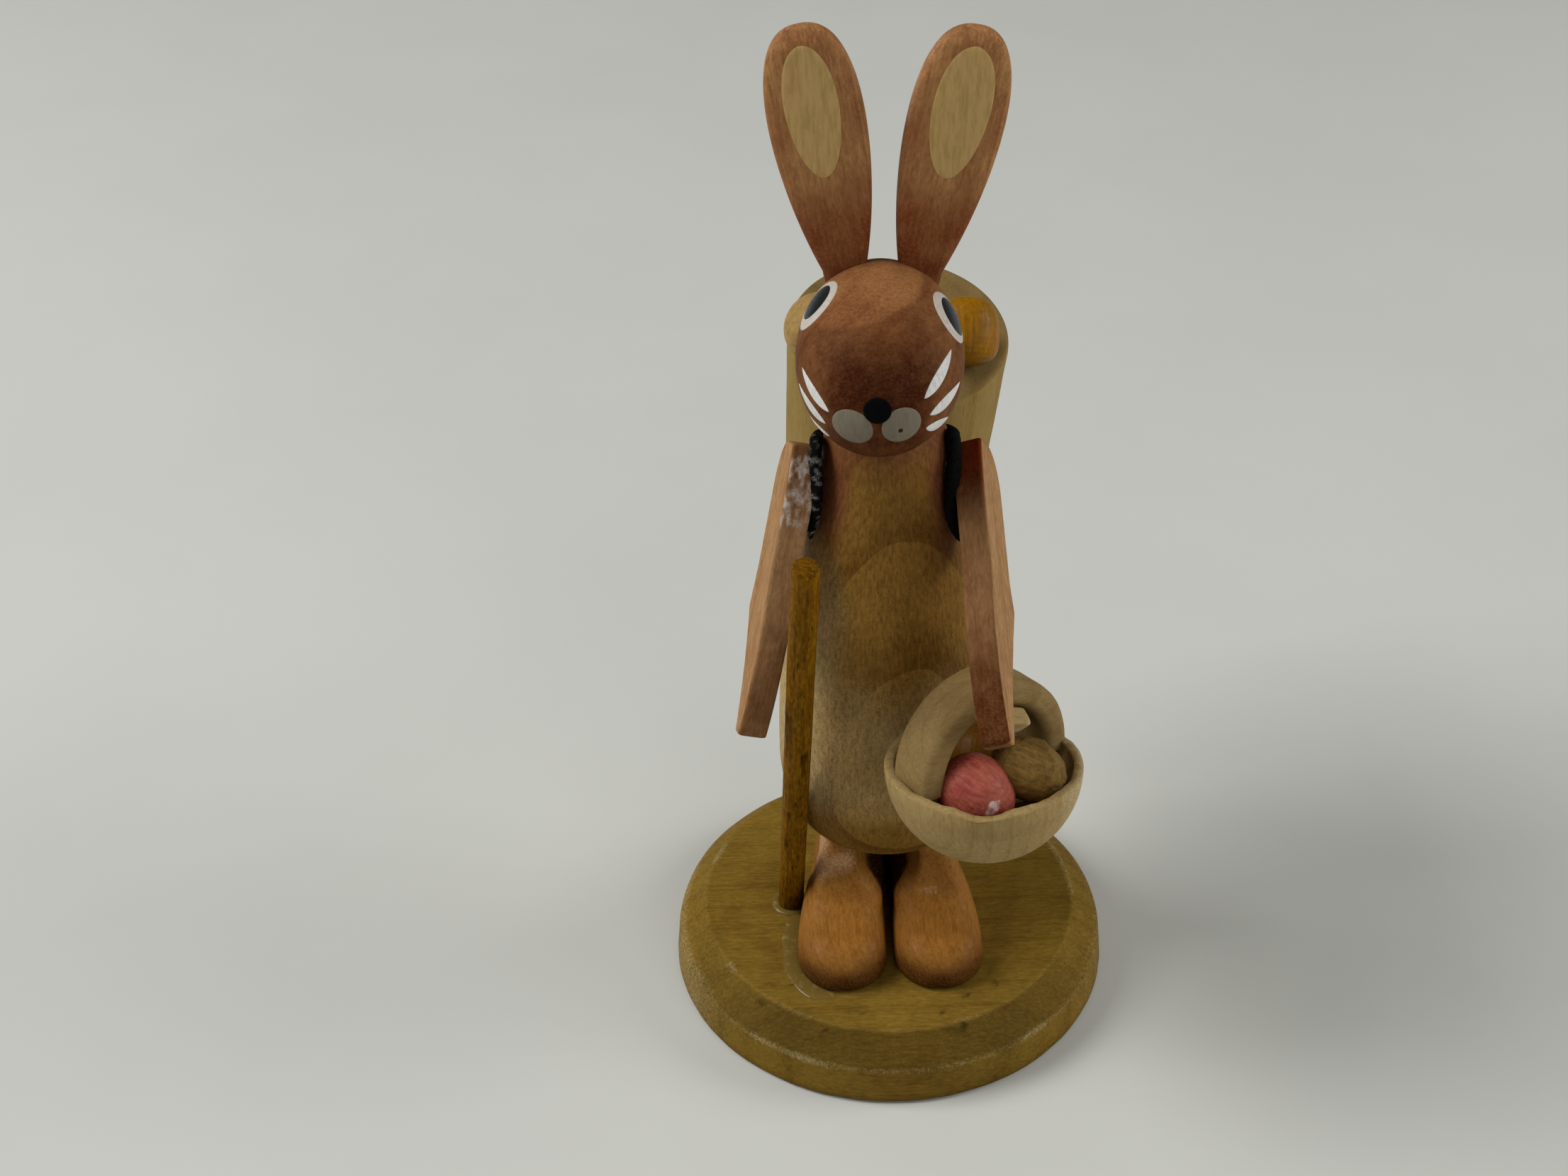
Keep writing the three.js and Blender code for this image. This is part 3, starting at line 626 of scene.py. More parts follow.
@dataclass(frozen=True)
class WoodFinish:
    """Wood with year rings, fibres, pores and speckle, thinly stained; sprayed, soiled and worn layers on
    top, which some pieces also use for painted shade and painted highlights.
    """

    name: str
    pale: str
    dark: str
    ring_mm: float = 3.0
    ring_bend: float = 3.0
    ring_along: float = 0.16
    ring_share: float = 0.5
    fibre_share: float = 0.5
    cloud_share: float = 0.35
    pore_share: float = 0.35
    speckle_share: float = 0.25
    dash_share: float = 0.6
    blotch: float = 0.35
    pale_grain: float = 0.6
    spray: str = "6b3a22"
    soil_and_shade: str = "3a2412"
    wear: str = "d8cdb4"
    roughness: float = 0.6
    relief_mm: float = 0.05
    pith: Spot = (14.0, 9.0, 0.0)
    specular: float = 0.1

    def material(self, seat: Seat, tag: str = "") -> bpy.types.Material:
        """Builds the node material for a piece.

        Args:
            seat: the frame of the grain, which runs along its Z.
            tag: ending that keeps the name apart from the finish's other pieces.

        Returns:
            The material.
        """
        s = NodeSheet(self.name + tag)
        spot = s.placed(seat)
        sawn = s.stretched(spot, (1, 1, self.ring_along), self.pith)
        late = s.ranged(s.rings(sawn, self.ring_mm, self.ring_bend), (0.55, 0.98))
        fibre = s.noise(spot, FIBRE)
        dash = s.noise(spot, DASH)
        pores = s.ranged(s.noise(spot, PORE), (0.62, 0.72))
        cloud = s.ranged(s.noise(spot, CLOUD), MIDDLE)
        speckle = s.noise(spot, SPECKLE)
        fibres = s.ranged(fibre, MIDDLE)
        tone = s.total((late, self.ring_share), (fibres, self.fibre_share), (cloud, self.cloud_share))
        tone = s.ranged(tone, (0.1, 0.4 + self.ring_share + self.fibre_share))
        colour = s.mix(tone, linear(self.pale), linear(self.dark))
        colour = s.mix(s.times(pores, self.pore_share), colour, linear(self.soil_and_shade))
        mottle = s.ranged(speckle, (0.2, 0.7), (0.9 - self.blotch, 0.9 + self.blotch))
        for layer, paint in ((Layer.SPRAY, self.spray), (Layer.SOIL_AND_SHADE, self.soil_and_shade)):
            colour = s.mix(s.times(s.layer(layer), mottle), colour, linear(paint))
        # The worn layer pales the wood: real rubbing, and painted highlights and reflections where a
        # piece paints them
        pale_share = s.total((s.layer(Layer.WEAR), 1.0), (speckle, self.pale_grain))
        pale_share = s.ranged(pale_share, (0.25 + self.pale_grain / 2, 0.75 + self.pale_grain / 2))
        colour = s.mix(pale_share, colour, linear(self.wear))
        rub = s.total((dash, self.dash_share), (speckle, 1 - self.dash_share))
        grit = s.ranged(rub, MIDDLE, (1 - self.speckle_share, 1 + self.speckle_share * 0.8))
        colour = s.mix(1.0, colour, s.grey(grit), "MULTIPLY")
        matt = s.ranged(fibre, (0.2, 0.8), (self.roughness - 0.08, self.roughness + 0.1))
        s.surface(colour, matt, self.specular)
        height = s.total((fibre, 0.4), (rub, 1.0), (pores, -0.5))
        s.bump(height, strength=0.5, depth_mm=self.relief_mm)
        return s.material


@dataclass(frozen=True)
class PaintFinish:
    """Brushed or stamped paint, a little uneven."""

    name: str
    colour: str
    streak: str
    roughness: float = 0.45
    specular: float = 0.12
    streak_mm: Spot = (0.35, 0.35, 2.4)
    relief_mm: float = 0.03

    def material(self) -> bpy.types.Material:
        """Builds the node material: brushed streaks over a plain colour.

        Returns:
            The material.
        """
        s = NodeSheet(self.name)
        spot = s.placed(Seat())
        brush = s.noise(s.stretched(spot, tuple(1 / v for v in self.streak_mm)), BRUSH)
        pimples = s.noise(spot, PAINT_PIMPLE)
        colour = s.mix(s.ranged(brush, (0.35, 0.75)), linear(self.colour), linear(self.streak))
        matt = s.ranged(pimples, MIDDLE, (self.roughness - 0.06, self.roughness + 0.1))
        s.surface(colour, matt, self.specular)
        s.bump(s.total((brush, 1.0), (pimples, 0.5)), strength=0.35, depth_mm=self.relief_mm)
        return s.material


@dataclass(frozen=True)
class CordFinish:
    """Matt black twisted cord with dusty fibres."""

    name: str
    dark: str = "060505"
    dusty: str = "171413"
    lint: str = "8d8984"
    roughness: Span = (0.75, 0.95)
    specular: float = 0.05
    relief_mm: float = 0.15

    def material(self) -> bpy.types.Material:
        """Builds the node material: fluff on dark strands, and lint where the cord is worn.

        Returns:
            The material.
        """
        s = NodeSheet(self.name)
        spot = s.placed(Seat())
        fluff = s.noise(spot, FLUFF)
        patch = s.ranged(s.noise(spot, LINT_PATCH), (0.55, 0.8))
        colour = s.mix(s.ranged(fluff, (0.4, 0.8)), linear(self.dark), linear(self.dusty))
        caught = s.times(s.layer(Layer.WEAR), s.ranged(fluff, (0.4, 0.6)))
        colour = s.mix(caught, colour, linear(self.lint))
        s.surface(colour, s.ranged(patch, (0.0, 1.0), self.roughness), self.specular)
        s.bump(fluff, strength=0.6, depth_mm=self.relief_mm)
        return s.material


@dataclass(frozen=True)
class GlueFinish:
    """Dried clear glue: a shiny film the colour of what it lies on, hazy in patches."""

    name: str
    film: str
    haze: str
    roughness: Span = (0.14, 0.34)
    specular: float = 0.3
    relief_mm: float = 0.05

    def material(self) -> bpy.types.Material:
        """Builds the node material: a film that turns hazy in patches.

        Returns:
            The material.
        """
        s = NodeSheet(self.name)
        haze = s.noise(s.placed(Seat()), GLUE_HAZE)
        colour = s.mix(s.ranged(haze, (0.5, 0.8)), linear(self.film), linear(self.haze))
        s.surface(colour, s.ranged(haze, MIDDLE, self.roughness), self.specular)
        s.bump(haze, strength=0.12, depth_mm=self.relief_mm)
        return s.material


class Piece:
    """One mesh of the figure: made from a skin, painted in layers, dressed and set on the frame."""

    def __init__(self, name: str, form: Skin) -> None:
        """Puts a skin into a new mesh object at the origin.

        Args:
            name: the piece's name.
            form: its skin in millimetres.
        """
        data = bpy.data.meshes.new(name)
        corners = np.r_[form.quads.ravel(), form.tris.ravel()].astype(np.int32)
        sizes = np.r_[np.full(len(form.quads), 4), np.full(len(form.tris), 3)].astype(np.int32)
        data.vertices.add(len(form.points))
        data.vertices.foreach_set("co", (form.points * MM).astype(np.float32).ravel())
        data.loops.add(len(corners))
        data.loops.foreach_set("vertex_index", corners)
        data.polygons.add(len(sizes))
        data.polygons.foreach_set("loop_start", np.r_[0, np.cumsum(sizes)[:-1]].astype(np.int32))
        data.polygons.foreach_set("loop_total", sizes)
        data.update(calc_edges=True)
        data.validate()
        data.shade_smooth()
        self.object = bpy.data.objects.new(name, data)
        bpy.context.scene.collection.objects.link(self.object)

    def places(self) -> Array:
        """Reads the piece's points.

        Returns:
            Rows of places in millimetres.
        """
        vertices = self.object.data.vertices
        flat = np.empty(len(vertices) * 3, np.float32)
        vertices.foreach_get("co", flat)
        return flat.reshape(-1, 3).astype(float) / MM

    def paint(self, layer: Layer, amount: Array) -> None:
        """Stores a painted layer, one value from 0 to 1 a point."""
        stored = self.object.data.attributes.new(layer.value, "FLOAT", "POINT")
        stored.data.foreach_set("value", np.clip(amount, 0, 1).astype(np.float32))

    def fuse(self, voxel_mm: float, rounds: int) -> None:
        """Joins overlapping skins into one and softens the seam between them.

        Args:
            voxel_mm: size of the cells on which the joined skin is rebuilt.
            rounds: how often its points are averaged with their neighbours.
        """
        piece = self.object
        join = piece.modifiers.new("fuse", "REMESH")
        join.mode = "VOXEL"
        join.voxel_size = voxel_mm * MM
        join.use_smooth_shade = True
        soften = piece.modifiers.new("soften", "SMOOTH")
        soften.factor = 0.5
        soften.iterations = rounds
        graph = bpy.context.evaluated_depsgraph_get()
        piece.data = bpy.data.meshes.new_from_object(piece.evaluated_get(graph))
        piece.modifiers.clear()

    def finish(
        self, material: bpy.types.Material, slot: str | None = None, node: str | None = None
    ) -> None:
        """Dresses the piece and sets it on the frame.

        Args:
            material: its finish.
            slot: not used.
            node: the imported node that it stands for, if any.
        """
        piece = self.object
        piece.data.materials.clear()
        piece.data.materials.append(material)
        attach(piece, "root")
        if node:
            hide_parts(node)
        LOG.info("%s: %d faces", piece.name, len(piece.data.polygons))


# Each finish's sprayed and soiled colours also tint painted shade, and its worn colour painted highlights
# and reflections, where a piece paints them
MOSS = WoodFinish(
    "moss_stain", "8d6d29", "6d4f18", ring_mm=4.5, ring_share=0.16, fibre_share=0.28, pore_share=0.25,
    speckle_share=0.28, spray="5a4f1b", soil_and_shade="3a2c0c", wear="c9bc93", roughness=0.66,
    pith=(3.0, 46.0, 0.0), specular=0.05,
)
SLIPPER = WoodFinish(
    "slipper_stain", "966428", "7d4e1c", ring_mm=2.4, ring_share=0.16, pore_share=0.15,
    speckle_share=0.22, spray="351806", soil_and_shade="1e0c04", wear="c59a72", roughness=0.5, specular=0.08,
)
TRUNK_WOOD = WoodFinish(
    "trunk_wood", "8a662c", "684719", ring_mm=3.47, ring_bend=1.0, ring_share=0.6, fibre_share=0.3,
    speckle_share=0.38, pale_grain=0.2, spray="7d4a30", soil_and_shade="2a0d00", wear="b59c6c", roughness=0.52,
    pith=(1.6, -9.9, 0.0), specular=0.05,
)
HARE_STAIN = WoodFinish(
    "hare_stain", "93643c", "764628", ring_mm=4.2, ring_bend=2.0, ring_share=0.12, fibre_share=0.16,
    pore_share=0.12, speckle_share=0.28, blotch=0.2, spray="441d08", soil_and_shade="280500", wear="3d1705",
    specular=0.04,
)
EAR_STAIN = WoodFinish(
    "ear_stain", "a87a4c", "8d5b38", ring_share=0.15, fibre_share=0.3, pore_share=0.1,
    speckle_share=0.32, spray="6e3111", soil_and_shade="471b05", wear="b78f77",
)
ARM_WOOD = WoodFinish(
    "arm_wood", "af875d", "976c45", ring_mm=3.2, ring_share=0.25, fibre_share=0.4, pore_share=0.25,
    speckle_share=0.26, blotch=0.12, spray="4b2002", soil_and_shade="6e2206", wear="b3a89c", roughness=0.68,
    relief_mm=0.09, specular=0.03,
)
DRUM_WOOD = WoodFinish(
    "drum_wood", "977f4b", "876d39", ring_mm=5.0, ring_bend=2.0, ring_share=0.4, fibre_share=0.45,
    pore_share=0.2, speckle_share=0.1, spray="5c4830", soil_and_shade="3c2c1a", roughness=0.7,
    pith=(24.0, 12.0, 0.0), specular=0.03,
)
BASKET_WOOD = WoodFinish(
    "basket_wood", "a08859", "8e7244", ring_mm=2.6, ring_share=0.35, fibre_share=0.45, pore_share=0.25,
    speckle_share=0.16, spray="6d542f", soil_and_shade="5f4a2c", wear="bfae88", roughness=0.72, relief_mm=0.07,
)
STICK_WOOD = WoodFinish(
    "stick_wood", "7d540a", "5b3a05", ring_mm=1.6, ring_share=0.3, fibre_share=0.6, pore_share=0.75,
    speckle_share=0.36, dash_share=1.0, spray="6d3a16", soil_and_shade="1c0901", wear="c8b184",
    pith=(4.0, 2.0, 0.0), specular=0.03,
)
DOWEL_WOOD = WoodFinish("dowel_wood", "d3bd93", "b89d6e", ring_mm=1.8, ring_share=0.3)
EYE_WHITE = PaintFinish("eye_white_paint", "c9c1b6", "b7ada2")
PUPIL_GREY = PaintFinish("pupil_grey_paint", "1d2123", "121517", roughness=0.3, specular=0.16)
NOSE_BLACK = PaintFinish("nose_black_paint", "020303", "050606", roughness=0.7, specular=0.05)
CHIP_BROWN = PaintFinish("chip_brown_paint", "2c140c", "3d2015", roughness=0.7)
MUZZLE_WHITE = PaintFinish("muzzle_white_paint", "7a7262", "6f6857", roughness=0.5)
WHISKER_WHITE = PaintFinish("whisker_white_paint", "dcdad6", "c4c1bd")
LINING_CREAM = PaintFinish(
    "ear_lining_paint", "ba9962", "a6874f", roughness=0.6, streak_mm=(0.5, 0.5, 3.0)
)
CLEAR_GLUE = GlueFinish("clear_glue", "725b28", "93824f")


class Tint(Enum):
    """Colours of the eggs, each with its finish."""

    YELLOW = WoodFinish(
        "egg_yellow", "966600", "7a4d00", ring_mm=0.9, ring_share=0.18, fibre_share=0.35, pore_share=0.2,
        speckle_share=0.2, soil_and_shade="5e3a08", wear="d8c48c", roughness=0.45, specular=0.14,
    )
    CREAM = WoodFinish(
        "egg_cream", "ac8d56", "997843", ring_mm=1.6, ring_share=0.3, speckle_share=0.12, soil_and_shade="4a3520"
    )
    RED = WoodFinish(
        "egg_red", "b1614d", "953e37", ring_mm=1.4, ring_share=0.08, fibre_share=0.35, pore_share=0.15,
        speckle_share=0.28, soil_and_shade="6e1c20", wear="e3c4bd", roughness=0.5, specular=0.14,
    )
    BROWN = WoodFinish(
        "egg_brown", "806332", "63471c", ring_mm=1.5, ring_share=0.35, pore_share=0.5,
        speckle_share=0.3, soil_and_shade="3d2a12", wear="b0a282", roughness=0.7, relief_mm=0.12,
    )


@dataclass
class RoundBase:
    """Disc with a wide chamfer round its top, on which everything stands."""

    radius: float = 33.6
    height: float = 10.7
    chamfer: float = 4.3
    edge: float = 0.6
    # Strength of the painted reflection on the base's left and right flanks
    reflection_left: float = 0.36
    reflection_right: float = 0.3

    @property
    def ledge_r(self) -> float:
        """Radius of the flat top."""
        return self.radius - self.edge - self.chamfer

    @property
    def brow_z(self) -> float:
        """Height at which the chamfer starts."""
        return self.height - self.chamfer

    def build(self) -> None:
        """Turns the disc, dents its edges a little, stains it and paints shade on its front and
        highlights on its edges and flanks.
        """
        r, h = self.radius, self.height
        foot = [(0, 0), (r - self.edge, 0), (r, self.edge)]
        top = [(r - self.edge, self.brow_z), (self.ledge_r, h), (0, h)]
        form = lathe(eased(foot + top, radius=0.4, step=0.6), segments=220)
        dent = 1 + 0.0022 * soft_noise(form.points, 6.0, 1) + 0.0012 * soft_noise(form.points, 1.8, 2)
        form.points[:, :2] *= dent[:, None]
        base = Piece("round_base", form)
        p = base.places()
        base.paint(Layer.WEAR, self._chalk(p))
        base.paint(Layer.SOIL_AND_SHADE, self._grime(p))
        base.paint(Layer.SPRAY, 0.2 + 0.18 * soft_noise(p, 14.0, 7) + 0.12 * soft_noise(p, 3.0, 8))
        base.finish(MOSS.material(Seat((0, 0, 5)).turned(Axis.Y, 90)), "base_stain", "base")

    def _chalk(self, p: Array) -> Array:
        """Paler wood: rubbed either side of the ledge, a painted highlight about the brow's outer corner,
        and a painted reflection of the side lamps on the rim's flanks.

        Args:
            p: places on the base.

        Returns:
            Amount of rubbing and painted light at each.
        """
        x, y, z = p.T
        out = np.hypot(x, y)
        aside = np.abs(x) / self.radius
        off = np.abs(out - self.ledge_r)
        patch = smooth(soft_noise(p, 5.0, 3), 0.05, 0.5)
        shelf = 0.36 * fade(off, 0.2, 1.6) * smooth(aside, 0.3, 0.8) * patch
        line = 0.3 * fade(off, 0.2, 0.9)
        # Painted highlight along the brow's outer corner, where the chamfer starts
        rim = 0.38 * fade(np.abs(z - self.brow_z) + np.abs(out - self.radius + self.edge), 0.2, 2.2)
        edges = np.maximum(line, rim) * (0.8 + 0.2 * patch)
        # Painted reflection of the side lamps on the rim's left and right flanks
        side = np.where(x < 0, self.reflection_left, self.reflection_right)
        flank = side * smooth(aside, 0.45, 0.95) * smooth(out, self.radius - 3.2, self.radius - 1.2)
        return np.maximum(np.maximum(shelf, edges), flank)

    def _grime(self, p: Array) -> Array:
        """Darker along the floor, soiled in pits of the top's front, and painted shade over the front,
        most on the chamfer.

        Args:
            p: places on the base.

        Returns:
            Amount of darkening at each.
        """
        x, y, z = p.T
        foot = fade(z, 0.3, 2.2)
        pits = smooth(soft_noise(p, 1.1, 5), 0.62, 0.75) * smooth(-y, 14, 24) * smooth(z, 9, 10.5)
        # Painted shade over the front, which faces away from the side lamps, deepest on the chamfer
        front = smooth(-y / self.radius, 0.1, 0.8)
        slope = smooth(np.hypot(x, y), self.ledge_r, self.ledge_r + 0.4)
        slope = slope * smooth(z, self.brow_z - 0.2, self.brow_z + 0.3)
        return np.maximum(0.35 * foot, 0.8 * pits) + front * (0.18 + 0.4 * slope)


@dataclass
class Slipper:
    """Slipper-shaped foot with its leg, in one piece."""

    side: Side
    length: float = 28.5
    width: float = 13.6
    heel_width: float = 11.2
    toe_height: float = 6.6
    instep_height: float = 9.4
    toe_round: float = 7.0
    heel_share: float = 0.3
    narrowing: Span = (0.32, 0.95)
    instep: Span = (0.25, 0.62)
    toe_y: float = -21.3
    floor_z: float = 11.0
    top_z: float = 28.0
    middle_x: float = -0.4
    apart: float = 1.0
    leg_width: float = 8.9
    leg_depth: float = 11.5
    leg_back_y: float = 7.6
    leg_round: float = 2.4
    leg_in: float = 0.7
    leg_open: float = 1.3
    corner_cut: float = 3.4
    cut_z: Span = (17.0, 23.5)
    tongue: float = 6.5
    ankle_width: float = 11.0
    fullness: float = 0.75
    nook_half: float = 0.4
    nook_open: float = 2.7
    glue_highlight_x: float = -6.2
    glue_highlight_top: float = 23.4
    glue_highlight_curve: float = 0.066
    seam_voxel: float = 0.32
    seam_rounds: int = 14

    def build(self) -> None:
        """Joins the foot and the leg and stains them, darker towards the floor, with painted shade on the
        toe's lower front and in the corner beneath the body.
        """
        s, label = self.side.value, self.side.label
        inner = self.middle_x + s * self.apart / 2
        whole = self._foot(inner).joined(self._leg(inner - s * self.leg_in))
        slipper = Piece(f"slipper_{label}", whole)
        slipper.fuse(self.seam_voxel, self.seam_rounds)
        p = slipper.places()
        z = p[:, 2]
        grime = 0.35 * fade(z, 11.0, 13.5) + 0.12 * soft_noise(p, 3.0, 21)
        # Painted shade in the corner beneath the body
        slipper.paint(Layer.SOIL_AND_SHADE, np.maximum(grime, 0.95 * self._nook(p)))
        # Painted shade on the toe's lower front, which faces down and forward
        toe = fade(p[:, 1], -19, -11) * smooth(17 - z, 0, 4)
        slipper.paint(Layer.SPRAY, 0.75 * toe + 0.12 * smooth(z, 19, 27))
        # Rubbed ankles; on the left leg, glue painted paler as its film and its painted highlight
        paler = 0.4 * smooth(soft_noise(p, 2.2, 23), 0.45, 0.8) * smooth(z, 15, 20)
        slipper.paint(Layer.WEAR, np.maximum(paler, self._smear(p)))
        grain = Seat((inner + s * self.width / 2, -7.0, 15.0)).turned(Axis.X, 90)
        slipper.finish(SLIPPER.material(grain, f"_slipper_{label}"), "foot_stain", f"foot_{label}")

    def _nook(self, p: Array) -> Array:
        """Painted shade in the corner beneath the body: a wedge about the middle that opens backwards and
        with height.

        Args:
            p: places on the slipper.

        Returns:
            Share of the painted shade at each.
        """
        x, y, z = p.T
        opened = np.maximum(smooth(y, -7.4, -4.0), smooth(z, 21.2, 23.4))
        half = self.nook_half + self.nook_open * opened
        return fade(np.abs(x - self.middle_x) - half, -0.5, 0.6)

    def _smear(self, p: Array) -> Array:
        """Glue on the left leg, painted paler as its film and its painted highlight: a film up its outer
        side, and a band about a parabola across its ankle.

        Args:
            p: places on the slipper.

        Returns:
            Amount of glue and painted highlight at each.
        """
        x, y, z = p.T
        line = self.glue_highlight_top - self.glue_highlight_curve * (x - self.glue_highlight_x) ** 2
        band = bell(z, line, 2.0) * fade(x, -7, -3) * smooth(-y, 0, 3)
        film = smooth(z, 20.5, 23) * fade(x, -10.5, -7.0)
        return np.maximum(0.58 * band, 0.56 * film) * (self.side is Side.LEFT)

    def _foot(self, inner: float) -> Skin:
        """Foot as rings along its length: width and height fall off as circles at toe and heel.

        Args:
            inner: X of the foot's inner side.

        Returns:
            The foot's skin.
        """
        share = (1 - np.cos(np.pi * np.linspace(0.06, 0.96, 60))) / 2
        back = self.length * share
        toe = np.minimum(back / self.toe_round, 1)
        heel = np.minimum((1 - share) / self.heel_share, 1)
        closed = np.sqrt(1 - (1 - toe) ** 2) * np.sqrt(1 - (1 - heel) ** 2)
        width = self.width + (self.heel_width - self.width) * smooth(share, *self.narrowing)
        lift = self.toe_height + (self.instep_height - self.toe_height) * smooth(share, *self.instep)
        height = lift * (0.25 + 0.75 * closed)
        t = np.linspace(0, np.pi, 49)
        sole = np.linspace(-1, 1, 26)[1:-1]
        aside = np.r_[bent(np.cos(t), self.fullness), sole]
        over = np.r_[np.sin(t) ** self.fullness, np.zeros_like(sole)]
        x = inner + self.side.value * width[:, None] / 2 * (1 + closed[:, None] * aside)
        y = np.repeat(self.toe_y + back[:, None], len(aside), 1)
        z = self.floor_z + height[:, None] * over
        return skin(np.stack([x, y, z], -1))

    def _leg(self, inner: float) -> Skin:
        """Leg as a post with rounded corners whose front and outer side slope out to the instep.

        Its inner front corner is cut back towards the top, by a product of smooth steps.

        Args:
            inner: X of the leg's inner side.

        Returns:
            The leg's skin.
        """
        s = self.side.value
        z = np.linspace(self.floor_z, self.top_z - 0.3, 40)[:, None]
        flare = fade(z, self.floor_z + 5.0, self.top_z - 1.0)
        width = self.leg_width + (self.ankle_width - self.leg_width) * flare
        depth = self.leg_depth + self.tongue * flare
        ring = box_ring(width[:, 0] / 2, depth[:, 0] / 2, self.leg_round, count=8)
        inside, ahead = -s * ring[..., 0] / width, -ring[..., 1] / depth
        cut = smooth(inside, 0.1, 0.5) * smooth(ahead, -0.3, 0.4) * smooth(z, *self.cut_z)
        shift = width / 2 + self.leg_open * (0.5 + ahead) + self.corner_cut * cut
        x = inner + s * shift + ring[..., 0]
        y = self.leg_back_y - depth / 2 + ring[..., 1]
        return skin(np.stack([x, y, np.repeat(z, ring.shape[1], 1)], -1))


@dataclass
class Trunk:
    """Turned bullet-shaped body."""

    x: float = -0.5
    y: float = 2.7
    z: float = 28.0
    foot_r: float = 11.2
    radius: float = 15.9
    belly_h: float = 12.0
    shoulder_r: float = 8.9
    shoulder_h: float = 64.5
    height: float = 72.0
    top_r: float = 3.5
    curve_low: float = 0.42
    curve_high: float = 0.72

    def outline(self) -> Array:
        """Outline of the body: a quarter ellipse, a long curve to the shoulder, a quarter ellipse.

        Returns:
            Rows of radius and height, from the foot up.
        """
        t = np.linspace(0, np.pi / 2, 30)[1:-1]
        rise = self.shoulder_h - self.belly_h
        low_r = self.foot_r + (self.radius - self.foot_r) * np.sin(t)
        top_r = self.top_r + (self.shoulder_r - self.top_r) * np.cos(t)
        top_z = self.shoulder_h + (self.height - self.shoulder_h) * np.sin(t)
        corners = [
            (self.radius, self.belly_h),
            (self.radius, self.belly_h + self.curve_low * rise),
            (0.5 * (self.radius + self.shoulder_r), self.belly_h + self.curve_high * rise),
            (self.shoulder_r, self.shoulder_h),
        ]
        parts = [
            densify([(0, 0), (self.foot_r - 0.5, 0)], step=1.0),
            np.stack([low_r, self.belly_h * (1 - np.cos(t))], 1),
            curve(corners, 110),
            np.stack([top_r, top_z], 1),
            densify([(self.top_r, self.height), (0, self.height)], step=1.0),
        ]
        return np.concatenate(parts)

    def on_skin(self, z: Array, azimuth: Array, off: Array) -> Array:
        """Places off the body's skin: its radius at a height plus a distance, turned to an azimuth.

        Args:
            z: heights in the figure.
            azimuth: degrees from the front to the viewer's right.
            off: distances from the skin.

        Returns:
            Rows of places in the figure.
        """
        rows = self.outline()
        rows = rows[rows[:, 0] > 0.5]
        r = np.interp(z - self.z, rows[:, 1], rows[:, 0]) + off
        a = np.radians(azimuth)
        return np.stack([self.x + r * np.sin(a), self.y - r * np.cos(a), z], -1)

    def build(self) -> None:
        """Turns the body, sprays its neck and shoulders brown, darkens its bottom as painted shade, pales
        it lower down and paints light on its left side.
        """
        form = lathe(self.outline(), segments=200)
        trunk = Piece("trunk", form.moved(Seat((self.x, self.y, self.z))))
        p = trunk.places()
        x, y, z = p.T
        azimuth = np.abs(np.degrees(np.arctan2(x - self.x, self.y - y)))
        ragged = soft_noise(p, 4.0, 31) * 0.12 + soft_noise(p, 1.2, 32) * 0.06
        neck = smooth(z, 91, 99)
        flank = smooth(z, 76, 90) * smooth(azimuth, 24, 48)
        trunk.paint(Layer.SPRAY, np.maximum(0.75 * neck, 0.85 * flank) + ragged * (neck + flank))
        # Painted shade where the belly curves in towards the foot, and darker from the shoulders' height
        # upwards
        low = fade(z, 28, 44)
        flecks = smooth(soft_noise(p, 3.0, 33), 0.3, 0.9)
        trunk.paint(Layer.SOIL_AND_SHADE, 0.28 * low + 0.24 * smooth(z, 76, 88) + 0.12 * flecks)
        # Painted light on the left side, which the arm and the stick hide from the left lamp; the body is
        # paler lower down too
        left = smooth(self.x - x, -2, 13)
        paler = np.maximum(0.5 * smooth(84 - z, 0, 34), 0.62 * left * smooth(96 - z, 0, 20))
        trunk.paint(Layer.WEAR, paler - 0.46 * low + 0.05 * soft_noise(p, 6.0, 34))
        trunk.finish(TRUNK_WOOD.material(Seat((self.x, self.y, 60))), "body_wood", "body")


@dataclass(frozen=True)
class Dot:
    """Round painted mark on the head.

    Its middle is given in degrees from the nape and in degrees round the head's axis.
    """

    name: str
    finish: PaintFinish
    middle: Span
    size: Span
    lift: float = 0.0


@dataclass(frozen=True)
class Whisker:
    """Painted stroke on the head between two places, each given like the middle of a dot."""

    name: str
    start: Span
    end: Span
    width: float


